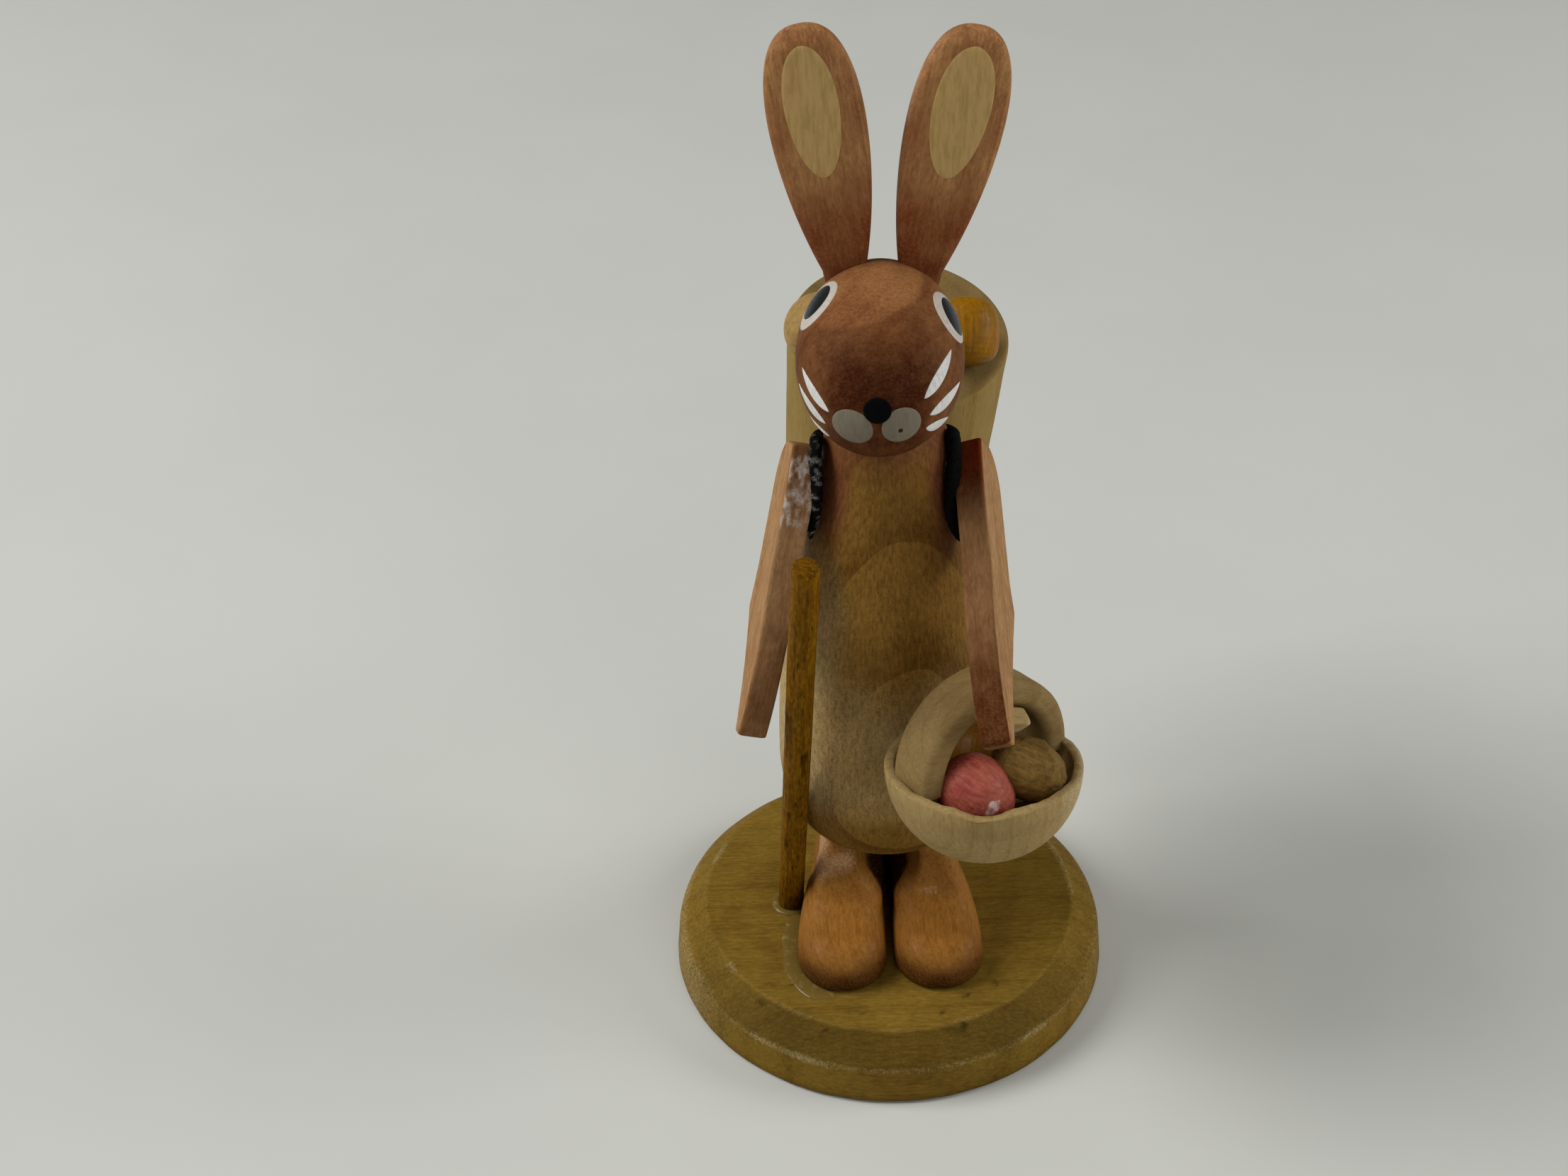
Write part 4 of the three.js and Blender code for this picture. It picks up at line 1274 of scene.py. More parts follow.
@dataclass
class HareHead:
    """Egg-shaped head lying forward, with its painted face."""

    place: Spot = (-1.58, -1.5, 110.13)
    radius: float = 11.18
    half_length: float = 14.64
    taper: float = -0.02
    nod: float = 14.6
    yaw: float = -3.5
    paint_mm: float = 0.09
    probe_mm: float = 1e-3
    press_steps: int = 14
    least_slope: float = 1e-4
    grain: Spot = (0.24, -0.905, 0.35)
    fore_ring: float = -8.26
    low_ring: float = -3.14
    dark_spot: Spot = (0.0, 5.6, 12.6)
    dark_reach: float = 5.6
    dot_along: Spot = (1.0, 0.2, 0.1)
    dots: tuple[Dot, ...] = (
        Dot("eye_white_left", EYE_WHITE, (78.2, 141.6), (8.0, 8.0)),
        Dot("eye_white_right", EYE_WHITE, (83.3, 31.9), (7.7, 7.7)),
        Dot("pupil_left", PUPIL_GREY, (77.2, 141.2), (5.6, 5.6), 0.06),
        Dot("pupil_right", PUPIL_GREY, (81.8, 29.6), (5.7, 5.7), 0.06),
        Dot("muzzle_left", MUZZLE_WHITE, (161.2, 163.0), (5.9, 5.5)),
        Dot("muzzle_right", MUZZLE_WHITE, (162.6, 27.0), (5.5, 5.5)),
        Dot("nose", NOSE_BLACK, (159.0, 92.0), (3.6, 3.5), 0.12),
        Dot("muzzle_chip", CHIP_BROWN, (164.8, 20.1), (0.7, 0.75), 0.05),
    )
    whiskers: tuple[Whisker, ...] = (
        Whisker("whisker_left_top", (110.3, 162.2), (143.2, 163.5), 1.6),
        Whisker("whisker_left_middle", (110.4, 178.5), (142.0, -176.0), 1.8),
        Whisker("whisker_left_low", (119.0, -157.0), (140.5, -154.0), 1.7),
        Whisker("whisker_right_top", (105.9, 31.0), (140.6, 34.7), 1.75),
        Whisker("whisker_right_middle", (110.8, 4.4), (143.1, 12.1), 1.9),
        Whisker("whisker_right_low", (121.4, -20.5), (146.9, -4.6), 1.8),
    )

    @property
    def seat(self) -> Seat:
        """The head's own frame: its Z runs out through the nose."""
        return Seat(self.place).turned(Axis.Z, self.yaw).turned(Axis.X, 90 + self.nod)

    def surface(self, angles: Span) -> Array:
        """Place on the egg: the radius goes by the sine of one angle and the taper, turned by the other.

        Args:
            angles: degrees from the nape, and degrees round the axis.

        Returns:
            The place in the head's own frame.
        """
        t, a = np.radians(angles)
        r = self.radius * np.sin(t) * (1 + self.taper * np.cos(t))
        return np.array([r * np.cos(a), r * np.sin(a), -self.half_length * np.cos(t)])

    def depth(self, p: Array) -> Array:
        """Implicit egg: the squared shares of its radius and of its half length, added.

        Args:
            p: places in the head's own frame.

        Returns:
            Below 1 inside, 1 on the skin.
        """
        z = np.clip(p[..., 2] / self.half_length, -1, 1)
        r = np.hypot(p[..., 0], p[..., 1]) / (self.radius * (1 - self.taper * z))
        return r * r + (p[..., 2] / self.half_length) ** 2

    def normal(self, p: Array) -> Array:
        """Outward direction of the egg, by differences of the implicit form."""
        step = np.eye(3) * self.probe_mm
        return unit(np.array([self.depth(p + d) - self.depth(p - d) for d in step]))

    def mark(self, middle: Array, along: Array, size: Span, shape: Mark, lift: float = 0.0) -> Skin:
        """Thin closed lens of paint, pressed onto the egg along the normal at its middle.

        The way down to the egg is found by repeated steps along the slope of the implicit form.

        Args:
            middle: its middle on the egg.
            along: direction of its length.
            size: length and width.
            shape: its outline.
            lift: how far its edge stands off the egg.

        Returns:
            The lens in the figure's frame.
        """
        n = self.normal(middle)
        ahead = unit(along - n * (along @ n))
        share, on_front, dome = lens_rows(inner=0.08, rows=14)
        a = circle(64)
        x = size[0] / 2 * share * np.cos(a)
        skew = 1 + 0.5 * shape.value * np.cos(a)
        y = size[1] / 2 * share * np.sin(a) * np.abs(np.sin(a)) ** shape.value * skew
        flat = middle + x[..., None] * ahead + y[..., None] * np.cross(n, ahead)
        drop = np.zeros(x.shape)
        for _ in range(self.press_steps):
            here = self.depth(flat - drop[..., None] * n)
            below = self.depth(flat - (drop + self.probe_mm)[..., None] * n)
            slope = (below - here) / self.probe_mm
            flatter = np.abs(slope) < self.least_slope
            drop = drop - (here - 1) / np.where(flatter, -self.least_slope, slope)
        rise = lift + self.paint_mm * np.where(on_front, dome, -0.25) - drop
        return skin(flat + rise[..., None] * n).moved(self.seat)

    def build(self) -> None:
        """Turns the head, stains it and paints the face."""
        profile = egg_profile(2 * self.radius, 2 * self.half_length, self.taper, rows=130)
        head = Piece("hare_head", lathe(profile, segments=170).moved(self.seat))
        self._stain(head)
        head.finish(HARE_STAIN.material(self.seat.turned(Axis.X, 90)), "hare_stain", "head")
        for dot in self.dots:
            middle = self.surface(dot.middle)
            form = self.mark(middle, np.array(self.dot_along), dot.size, Mark.DOT, dot.lift)
            Piece(dot.name, form).finish(dot.finish.material())
        white = WHISKER_WHITE.material()
        for whisker in self.whiskers:
            start, end = self.surface(whisker.start), self.surface(whisker.end)
            middle = 0.5 * (start + end)
            middle = middle / np.sqrt(self.depth(middle))
            size = (float(np.linalg.norm(end - start)) * 1.04, whisker.width)
            Piece(whisker.name, self.mark(middle, end - start, size, Mark.LEAF)).finish(white)

    def _stain(self, head: Piece) -> None:
        """Paints the layers: dark below two slanting year rings and partly as painted shade, darkest
        above the nose, with painted shade on the underside and a painted sheen across the face.

        Args:
            head: the turned head.
        """
        p = head.places()
        own = self.seat.own(p)
        aside = np.abs(own[:, 0])
        ripple = 0.25 * soft_noise(p, 4.0, 40)
        slant = own @ np.array(self.grain) + ripple
        level = own @ (np.array(self.grain) * [0, 1, 1]) + ripple
        rough = 0.12 * soft_noise(p, 1.6, 41) + 0.1 * soft_noise(p, 0.7, 42)
        chin = smooth(level, 1.0, 5.0)
        fore = smooth(slant, self.fore_ring - 0.3, self.fore_ring + 0.3)
        # The fall below the forehead ring is partly painted shade on the face's lower half
        fall = smooth(level, self.fore_ring - 0.5, self.low_ring + 0.5)
        stain = 0.42 * fore + 0.5 * fall - 0.1 * chin - 0.38 * smooth(aside, 4.5, 9.5)
        head.paint(Layer.SPRAY, stain + rough)
        # Darkest above the nose, and painted shade on the head's underside
        nose = bell(np.linalg.norm(own - np.array(self.dark_spot), axis=1), 0, self.dark_reach)
        under = smooth(-own[:, 1], 3, 9)
        head.paint(Layer.SOIL_AND_SHADE, 0.6 * nose * (1 - 0.4 * chin) + 0.2 * under + 0.4 * rough)
        # Painted sheen: a speckled band across the middle of the face standing for the lacquer's
        # reflection
        sheen = bell(aside, 3.5, 3.6) * bell(level, -5.2, 1.9)
        head.paint(Layer.WEAR, 0.4 * sheen * smooth(soft_noise(p, 0.7, 43), -0.4, 0.7))


@dataclass
class Ear:
    """Flat leaf-shaped ear with a painted lining on its front."""

    side: Side
    place: Spot
    splay: float
    length: float = 34.0
    root_w: float = 6.0
    low_w: float = 13.6
    high_w: float = 17.8
    swell_at: float = 0.36
    thick: float = 3.6
    side_power: float = 0.72
    face_power: float = 0.55
    tip_round: float = 2.4
    sink: float = 2.5
    lean: float = 1.2
    lining_from: float = 13.2
    lining_to: float = 32.3
    lining_w: float = 7.3
    lining_x: float = 0.0

    def half_width(self, h: Array) -> Array:
        """Half width of the blade: a cubic curve that closes at the tip.

        Args:
            h: heights over the root.

        Returns:
            Half width at each.
        """
        corners = [
            (self.root_w / 2, 0),
            (self.low_w / 2, self.swell_at * self.length),
            (self.high_w / 2, self.length),
            (0, self.length),
        ]
        rows = curve(corners, 300)
        return np.interp(h, rows[:, 1], rows[:, 0])

    def cap(self, h: Array) -> Array:
        """Share of the full thickness against height: falls as a square root over the rounded tip."""
        return np.clip((self.length - h) / self.tip_round, 0, 1) ** 0.5

    def build(self) -> None:
        """Saws the blade, rounds its edges, stains it and paints its lining."""
        label = self.side.label
        seat = Seat(self.place).turned(Axis.X, -self.lean).turned(Axis.Y, self.splay)
        ear = Piece(f"ear_blade_{label}", self._blade().moved(seat))
        p = ear.places()
        own = seat.own(p)
        h = own[:, 2]
        reach = np.abs(own[:, 0]) / np.maximum(self.half_width(np.clip(h, 0, self.length)), 0.2)
        paler = smooth(reach, 0.86, 1.0) * smooth(soft_noise(p, 3.0, 53), -0.3, 0.5)
        ear.paint(Layer.SPRAY, 0.65 * fade(h, 4, 17) + 0.2 * soft_noise(p, 2.5, 51) + 0.1)
        ear.paint(Layer.SOIL_AND_SHADE, 0.3 * fade(h, 0, 3))
        ear.paint(Layer.WEAR, 0.42 * paler)
        ear.finish(EAR_STAIN.material(seat, f"_{label}"), "hare_stain", f"ear_{label}")
        lining = Piece(f"ear_lining_{label}", self._lining().moved(seat))
        lining.finish(LINING_CREAM.material())

    def _blade(self) -> Skin:
        """Superellipses up the blade: half width by its curve, half thickness by the tip's cap.

        Returns:
            The blade's skin in the ear's own frame.
        """
        t = np.linspace(0, np.pi, 90)
        root = np.linspace(-self.sink, 0, 5)[:-1]
        h = np.r_[root, self.length * (1 - np.cos(t)) / 2][:-1, None]
        a = circle(96)
        w = np.where(h < 0, self.root_w / 2, self.half_width(np.maximum(h, 0)))
        x = w * bent(np.cos(a), self.side_power)
        y = -self.thick / 2 * self.cap(h) * bent(np.sin(a), self.face_power)
        rings = np.stack([x, y, np.repeat(h, len(a), 1)], -1)
        return skin(rings, np.array([0, 0, -self.sink]), np.array([0, 0, self.length]))

    def _lining(self) -> Skin:
        """Painted oval pressed onto the blade's front: an ellipse, a little fuller above its middle.

        Returns:
            The lining's skin in the ear's own frame.
        """
        share, on_front, dome = lens_rows(inner=0.05, rows=16)
        crown = np.where(on_front, 0.06 * dome + 0.02, -0.2)
        a = circle(90)
        middle = 0.5 * (self.lining_from + self.lining_to)
        h = middle + 0.5 * (self.lining_to - self.lining_from) * share * np.sin(a)
        x = self.lining_x + self.lining_w / 2 * share * np.cos(a) * (1 + 0.1 * np.sin(a))
        c = np.clip(np.abs(x / np.maximum(self.half_width(h), TINY)), 0, 1) ** (1 / self.side_power)
        y = -self.thick / 2 * self.cap(h) * (1 - c * c) ** (self.face_power / 2) - crown
        return skin(np.stack([x, y, h], -1))


@dataclass
class Arm:
    """Sawn board arm that hangs from the shoulder."""

    side: Side
    corner: Spot
    across: Spot
    along: Spot
    normal: Spot
    length: float = 41.5
    thick: float = 4.0
    edge: float = 0.4
    shoulder_w: float = 7.9
    elbow_w: float = 8.7
    elbow_at: float = 24.6
    hand_w: float = 2.6
    bow: float = 1.8
    rows: int = 150
    # Share of sprayed colour on the sawn front and ends; the two arms' shares differ as painted light and
    # shade
    stain: float = 0.28
    soiled: float = 0.0
    glued: float = 0.0

    def edges(self, v: Array) -> tuple[Array, Array]:
        """Front and rear edge of the board: curves end to end.

        Args:
            v: lengths from the shoulder.

        Returns:
            Where the front edge and the rear edge lie across the board.
        """
        b, w, n = self.bow, self.shoulder_w, self.length
        bend = (-0.8 * b, 0.53)
        front = np.r_[
            curve([(0.4, 0), (-0.9 * b, 0.18), (-0.1 * b, 0.36), bend], 60),
            curve([bend, (-1.4 * b, 0.68), (-1.1 * b, 0.86), (0, 1)], 60)[1:],
        ]
        elbow = (self.elbow_w, self.elbow_at / n)
        wrist = (0.4 * (self.hand_w + self.elbow_w), 0.76)
        rear = np.r_[
            curve([(0.4 * w, 0), (w, 0.01), (w, 0.17)], 30),
            [(w, 0.44)],
            curve([elbow, wrist, (self.hand_w + 0.9, 0.88), (self.hand_w, 1)], 60),
        ]
        return np.interp(v / n, front[:, 1], front[:, 0]), np.interp(v / n, rear[:, 1], rear[:, 0])

    def build(self) -> None:
        """Saws the board, stains its sawn front and ends, and smears glue on the shoulder."""
        axes = np.array([self.across, self.along, self.normal])
        seat = Seat(self.corner, axes.T)
        label = self.side.label
        arm = Piece(f"arm_board_{label}", self._board(seat))
        p = arm.places()
        own = seat.own(p)
        down = own[:, 1]
        front, _ = self.edges(np.clip(down, 0, self.length))
        sawn = fade(own[:, 0] - front, 0.15, 0.6)
        ends = fade(np.minimum(down, self.length - down), 0.05, 0.4)
        ragged = soft_noise(p, 2.0, 63) * 0.15 + soft_noise(p, 0.7, 64) * 0.08
        hand = smooth(down, 0.6 * self.length, 0.9 * self.length)
        shade = self.stain + 0.4 * fade(down, 4, 14) + 0.36 * hand
        arm.paint(Layer.SPRAY, np.maximum(sawn, 0.8 * ends) * shade + ragged * 0.5 + 0.06)
        arm.paint(Layer.SOIL_AND_SHADE, self.soiled * sawn * fade(down, 2, 9))
        smear = sawn * smooth(down, 0.3, 2.0) * fade(down, 10.5, 14.0)
        streak = 0.62 + 0.45 * soft_noise(own * [1.4, 0.6, 1], 0.5, 66) + 0.2 * soft_noise(own, 1.6, 67)
        bare = 0.22 * smooth(soft_noise(p, 1.6, 65), 0.4, 0.8)
        arm.paint(Layer.WEAR, np.maximum(bare, self.glued * smear * streak))
        turn = np.stack([axes[0], axes[2], axes[1]], 1)
        if np.linalg.det(turn) < 0:
            turn[:, 0] *= -1
        grain = Seat(self.corner, turn)
        arm.finish(ARM_WOOD.material(grain, f"_{label}"), "body_wood", f"arm_{label}")

    def _board(self, seat: Seat) -> Skin:
        """Rounded boxes along the length, closer at the ends, with noise on the sawn edges.

        Args:
            seat: the board's own frame.

        Returns:
            The board's skin in the figure.
        """
        t = np.linspace(0, 1, self.rows)
        v = self.length * (t - 0.35 * np.sin(2 * np.pi * t) / (2 * np.pi))
        front, rear = self.edges(v)
        half = 0.5 * (rear - front)
        end = np.clip(np.minimum(v, self.length - v) / self.edge, 0, 1)
        tuck = self.edge * (1 - np.sqrt(np.clip(1 - (1 - end) ** 2, 0, 1)))
        ring = box_ring(np.maximum(half - tuck, 0.2), self.thick / 2 - tuck, self.edge, count=12)
        u = 0.5 * (front + rear)[:, None] + ring[..., 0]
        n = self.thick / 2 + ring[..., 1]
        down = np.repeat(v[:, None], u.shape[1], 1)
        saw = np.clip(np.abs(ring[..., 0]) / half[:, None] - 0.9, 0, 1) * 10
        jitter = soft_noise(np.stack([3 * down, n, 0 * u], -1), 1.4, 61)
        u = u + 0.07 * saw * jitter * np.sign(ring[..., 0])
        return skin(seat.out(np.stack([u, down, n], -1)))


@dataclass
class WalkingStick:
    """Thin dowel that stands in the base and leans on the left arm."""

    foot: Spot = (-15.4, -1.2, 10.7)
    along: Spot = (0.0369, -0.2771, 0.9601)
    radius: float = 1.95
    length: float = 86.0
    sunk: float = 3.0
    edge: float = 0.5
    stain_at: float = 62.0

    def build(self) -> None:
        """Turns the dowel, dents it a little and leaves it bare, with a dark ring under its top."""
        r, n = self.radius, self.length
        corners = [(0, -self.sunk), (r, -self.sunk), (r, n - self.edge), (r - self.edge, n), (0, n)]
        form = lathe(eased(corners, radius=0.25, step=0.7), segments=48)
        form.points[:, :2] *= (1 + 0.03 * soft_noise(form.points * [1, 1, 0.15], 1.2, 71))[:, None]
        seat = Seat(self.foot, stand_on(np.array(self.along)))
        stick = Piece("stick_dowel", form.moved(seat))
        own = seat.own(stick.places())
        h = own[:, 2]
        fleck = smooth(soft_noise(own * [1, 1, 0.2], 0.8, 73), 0.55, 0.8)
        stick.paint(Layer.SOIL_AND_SHADE, 0.6 * fleck + 0.35 * fade(h, 0, 14) + 0.3 * smooth(h, n - 0.5, n))
        ring = bell(h, self.stain_at, 3.0) * smooth(soft_noise(own, 1.5, 74), -0.1, 0.5)
        stick.paint(Layer.SPRAY, 0.8 * ring)
        stick.finish(STICK_WOOD.material(seat), "stick_wood", "walking_stick")


@dataclass
class Egg:
    """Small turned egg, glued where it lies."""

    owner: str
    tint: Tint
    place: Spot
    axis: Spot
    short: float
    long: float
    taper: float = 0.1
    rough: float = 0.04
    full: float = 2.0
    shade: float = 0.0
    glue: Spot | None = None

    def build(self) -> None:
        """Turns the egg with faint tool rings, tints it and paints shade on it, deeper on its lower half.
        """
        tint = self.tint.name.lower()
        name = f"{self.owner}_{tint}"
        profile = egg_profile(self.short, self.long, self.taper, rows=80, full=self.full)
        profile[:, 0] += 0.02 * np.sin(profile[:, 1] * 9.0) * (profile[:, 0] > 0.6)
        form = lathe(profile, segments=96)
        lumps = soft_noise(form.points, 1.6, 81) + 0.6 * soft_noise(form.points, 0.6, 82)
        form.points[:] *= (1 + self.rough / self.short * lumps)[:, None]
        seat = Seat(self.place, stand_on(np.array(self.axis)))
        egg = Piece(name, form.moved(seat))
        p = egg.places()
        # Painted shade over the egg as its shade sets, deeper on its lower half, with flecks of dirt
        low = fade(p[:, 2] - self.place[2], -self.short / 2, -self.short / 8)
        flecks = smooth(soft_noise(p, 1.4, 83), 0.2, 0.8)
        egg.paint(Layer.SOIL_AND_SHADE, self.shade + 0.55 * low + 0.2 * flecks)
        if self.glue:
            reach = np.linalg.norm(p - np.array(self.place) - np.array(self.glue), axis=1)
            egg.paint(Layer.WEAR, 0.8 * fade(reach + 0.7 * soft_noise(p, 0.8, 84), 0.5, 1.6))
        egg.finish(self.tint.value.material(seat, f"_{name}"), f"egg_{tint}", f"{self.owner}_egg_{tint}")


@dataclass
class Pannier:
    """Solid turned drum on the hare's back, with eggs on its flat top."""

    place: Spot = (2.5, 26.561, 97.4)
    radius: float = 16.1
    foot_r: float = 14.9
    length: float = 36.0
    edge: float = 0.6
    lean: float = 12.7
    tilt: float = 3.3
    eggs: tuple[Egg, ...] = (
        Egg("pannier", Tint.YELLOW, (11.7, 19.801, 101.032), (0.05, 0.6, 0.8), 9.3, 9.7, full=2.9),
        Egg("pannier", Tint.CREAM, (-9.245, 19.888, 102.114), (-0.4162, -0.8925, 0.1736), 9.8, 11.4),
        Egg("pannier", Tint.RED, (1.367, 24.561, 102.613), (0.173, -0.9811, 0.0872), 9.8, 11.4),
    )

    def build(self) -> None:
        """Turns the drum, darkens its end grain and lays the eggs on it."""
        r, n = self.radius, self.length
        corners = [(0, -n), (self.foot_r, -n), (r, -self.edge), (r - self.edge, 0), (0, 0)]
        form = lathe(eased(corners, radius=0.6, step=0.6), segments=160)
        form.points[:, :2] *= (1 + 0.002 * soft_noise(form.points, 5.0, 91))[:, None]
        seat = Seat(self.place).turned(Axis.X, self.lean).turned(Axis.Y, self.tilt)
        drum = Piece("pannier_drum", form.moved(seat))
        p = drum.places()
        h = seat.own(p)[:, 2]
        end = smooth(h, -0.7, -0.1)
        drum.paint(Layer.SPRAY, 0.5 * end + 0.12 * soft_noise(p, 3.0, 92) * end)
        spots = smooth(soft_noise(p, 2.0, 93), 0, 0.7)
        drum.paint(Layer.SOIL_AND_SHADE, 0.15 * end * spots + 0.2 * fade(h, -n, 6 - n))
        drum.finish(DRUM_WOOD.material(seat), "body_wood", "pannier")
        for egg in self.eggs:
            egg.build()


@dataclass
class Strap:
    """Black cord from the pannier over the shoulder to the armpit.

    Each knot of its route has a height over the trunk's foot, an azimuth and a lift off the skin.
    """

    side: Side
    trunk: Trunk
    knots: tuple[Spot, ...]
    radius: float = 1.15
    strands: int = 3
    lay_mm: float = 3.6
    thin_mm: float = 5.0
    dust: float = 0.0
    rows: int = 220
    cols: int = 36

    def build(self) -> None:
        """Sweeps a round section along the route, its radius lifted in turning strands."""
        heights, azimuths, lifts = smooth_line(np.array(self.knots), self.rows).T
        line = self.trunk.on_skin(heights + self.trunk.z, azimuths, lifts)
        ahead = unit(np.gradient(line, axis=0))
        out = line - np.array([self.trunk.x, self.trunk.y, 0])
        out[:, 2] = 0.35 * np.linalg.norm(out[:, :2], axis=1)
        out = unit(out - ahead * np.einsum("ij,ij->i", out, ahead)[:, None])[:, None]
        wide = np.cross(ahead, out[:, 0])[:, None]
        run = run_along(line)[:, None]
        a = circle(self.cols)
        twist = np.abs(np.sin(0.5 * self.strands * (a - 2 * np.pi * run / self.lay_mm)))
        close = np.clip(np.minimum(run / 0.8, (run[-1] - run) / self.thin_mm), 0.02, 1) ** 0.5
        r = self.radius * close * (0.94 + 0.09 * twist)
        section = 0.9 * np.cos(a)[:, None] * out + 1.05 * np.sin(a)[:, None] * wide
        grid = line[:, None] + r[..., None] * section
        grid += 0.05 * soft_noise(grid, 0.5, 95)[..., None] * out
        label = self.side.label
        cord = Piece(f"strap_{label}_cord", skin(grid))
        p = cord.places()
        fluff = smooth(soft_noise(p, 0.6, 96) + 0.5 * soft_noise(p, 2.2, 97), 0.1, 0.7)
        cord.paint(Layer.WEAR, self.dust * fluff * smooth(self.trunk.y - p[:, 1], 0, 2))
        cord.finish(CordFinish(f"strap_cord_{label}").material(), "strap_cord", f"strap_{label}")


@dataclass
class HandBasket:
    """Turned bowl under a bent hoop, with eggs, and the peg that holds it to the hand."""

    place: Spot = (11.690, -23.638, 57.95)
    tip_back: float = 10.0
    heading: float = 20.0
    bowl_r: float = 13.7
    wall: float = 1.4
    hollow: float = 6.4
    lip_h: float = 0.25
    notch: float = 0.9
    notch_at: float = -115.0
    notch_wide: float = 16.0
    hoop_r: float = 12.7
    hoop_mid: float = 0.15
    hoop_aside: float = 0.8
    hoop_w: float = 7.6
    hoop_back: float = 1.6
    hoop_twist: float = 14.0
    hoop_t: float = 4.0
    hoop_depth: float = 1.0
    hoop_edge: float = 1.4
    peg_from: Spot = (11.0, -31.2, 72.2)
    peg_to: Spot = (16.6, -22.8, 64.8)
    peg_r: float = 1.35
    peg_square: float = 6.0
    eggs: tuple[Egg, ...] = (
        Egg(
            "basket", Tint.RED, (10.35, -28.9, 57.5), (0.75, -0.6, -0.25), 9.9, 11.3,
            rough=0.16, shade=0.14, glue=(1.9, -4.3, 0.9),
        ),
        Egg(
            "basket", Tint.BROWN, (17.7, -26.05, 58.65), (0.85, -0.5, -0.15), 8.7, 11.0,
            rough=0.34, glue=(3.6, -2.9, -0.9),
        ),
        Egg(
            "basket", Tint.YELLOW, (12.4, -17.2, 54.4), (0.9623, -0.2578, 0.0872), 8.4, 10.0,
            rough=0.1, shade=0.85,
        ),
    )

    @property
    def seat(self) -> Seat:
        """The basket's own frame: tipped back, then headed, with its origin amid the rim."""
        return Seat(self.place).turned(Axis.X, -self.tip_back).turned(Axis.Z, self.heading)

    def build(self) -> None:
        """Builds bowl, hoop, peg and eggs."""
        self._bowl()
        self._hoop()
        self._peg()
        for egg in self.eggs:
            egg.build()

    def _bowl(self) -> None:
        """Half ball outside, shallow half egg inside, with a roughly sanded rim and a notch in it."""
        t = np.linspace(0, np.pi / 2, 60)
        inner = self.bowl_r - self.wall
        outside = np.stack([self.bowl_r * np.sin(t), -self.bowl_r * np.cos(t)], 1)
        inside = np.stack([inner * np.sin(t), -self.hollow * np.cos(t)], 1)[::-1]
        lip = np.linspace(0, np.pi, 8)[1:-1]
        rim = np.stack([inner + self.wall / 2 * (1 + np.cos(lip)), self.lip_h * np.sin(lip)], 1)
        form = lathe(np.r_[outside, rim, inside], segments=170)
        near = smooth(form.points[:, 2], -1.2, 0)
        azimuth = np.degrees(np.arctan2(form.points[:, 1], form.points[:, 0]))
        form.points[:, 2] -= self.notch * near * bell(azimuth, self.notch_at, self.notch_wide)
        chips = 0.22 * soft_noise(form.points, 1.7, 101) + 0.1 * soft_noise(form.points, 0.6, 102)
        form.points[:, 2] += near * chips
        bowl = Piece("basket_bowl_turned", form.moved(self.seat))
        p = bowl.places()
        own = self.seat.own(p)
        h = own[:, 2]
        # Painted shade inside the hollow, deeper towards its floor
        within = smooth(self.bowl_r - 0.4 - np.linalg.norm(own, axis=1), 0, 0.6)
        bowl.paint(Layer.SPRAY, 0.2 * within + 0.15 * bell(h, -3.2, 1.3) * (1 - within))
        bowl.paint(Layer.SOIL_AND_SHADE, 0.08 * within * smooth(-h, 1.5, 5))
        fuzz = smooth(h, -0.8, 0.1) * smooth(soft_noise(p, 0.8, 103), -0.2, 0.6)
        # Painted light on the bowl's right side, which faces the right lamp; the fuzz is the sanded rim
        bright = smooth(p[:, 0] - self.place[0], 4, 13) * (1 - within)
        bowl.paint(Layer.WEAR, np.maximum(0.4 * fuzz, 0.5 * bright))
        bowl.finish(BASKET_WOOD.material(self.seat, "_bowl"), "pale_wood", "basket_bowl")

    def _hoop(self) -> None:
        """Rounded box section carried up one foot, round a half circle and down the other."""
        r, mid = self.hoop_r - self.hoop_t / 2, self.hoop_mid
        a = np.linspace(0, np.pi, 120)
        arc = np.stack([r * np.cos(a), mid + r * np.sin(a)], 1)
        leg = np.linspace(-self.hoop_depth, mid, 14)[:-1]
        post = np.stack([np.full(len(leg), r), leg], 1)
        line = np.r_[post, arc, post[::-1] * [-1, 1]]
        run = unit(np.gradient(line, axis=0))
        rows = len(line)
        half_t, half_w = np.full(rows, self.hoop_t / 2), np.full(rows, self.hoop_w / 2)
        ring = box_ring(half_t, half_w, self.hoop_edge, count=9)
        x = self.hoop_aside + line[:, :1] + ring[..., 0] * run[:, 1:]
        z = line[:, 1:] - ring[..., 0] * run[:, :1]
        grid = np.stack([x, ring[..., 1] + self.hoop_back, z], -1)
        grid += 0.05 * soft_noise(grid, 1.5, 105)[..., None]
        seat = self.seat.turned(Axis.Z, self.hoop_twist)
        hoop = Piece("basket_hoop_bent", skin(grid).moved(seat))
        p = hoop.places()
        own = seat.own(p)
        reach = np.hypot(own[:, 0] - self.hoop_aside, np.maximum(own[:, 2] - mid, 0))
        # Painted shade on the hoop's inner face, deeper near its feet
        under = fade(reach, self.hoop_r - self.hoop_t, self.hoop_r - self.hoop_t + 0.7)
        hoop.paint(Layer.SPRAY, 0.46 + 0.3 * under + 0.15 * soft_noise(p, 2.0, 106))
        hoop.paint(Layer.SOIL_AND_SHADE, 0.25 * under * fade(own[:, 2], 0, 3))
        grain = self.seat.turned(Axis.Y, 90)
        hoop.finish(BASKET_WOOD.material(grain, "_hoop"), "pale_wood", "basket_hoop")

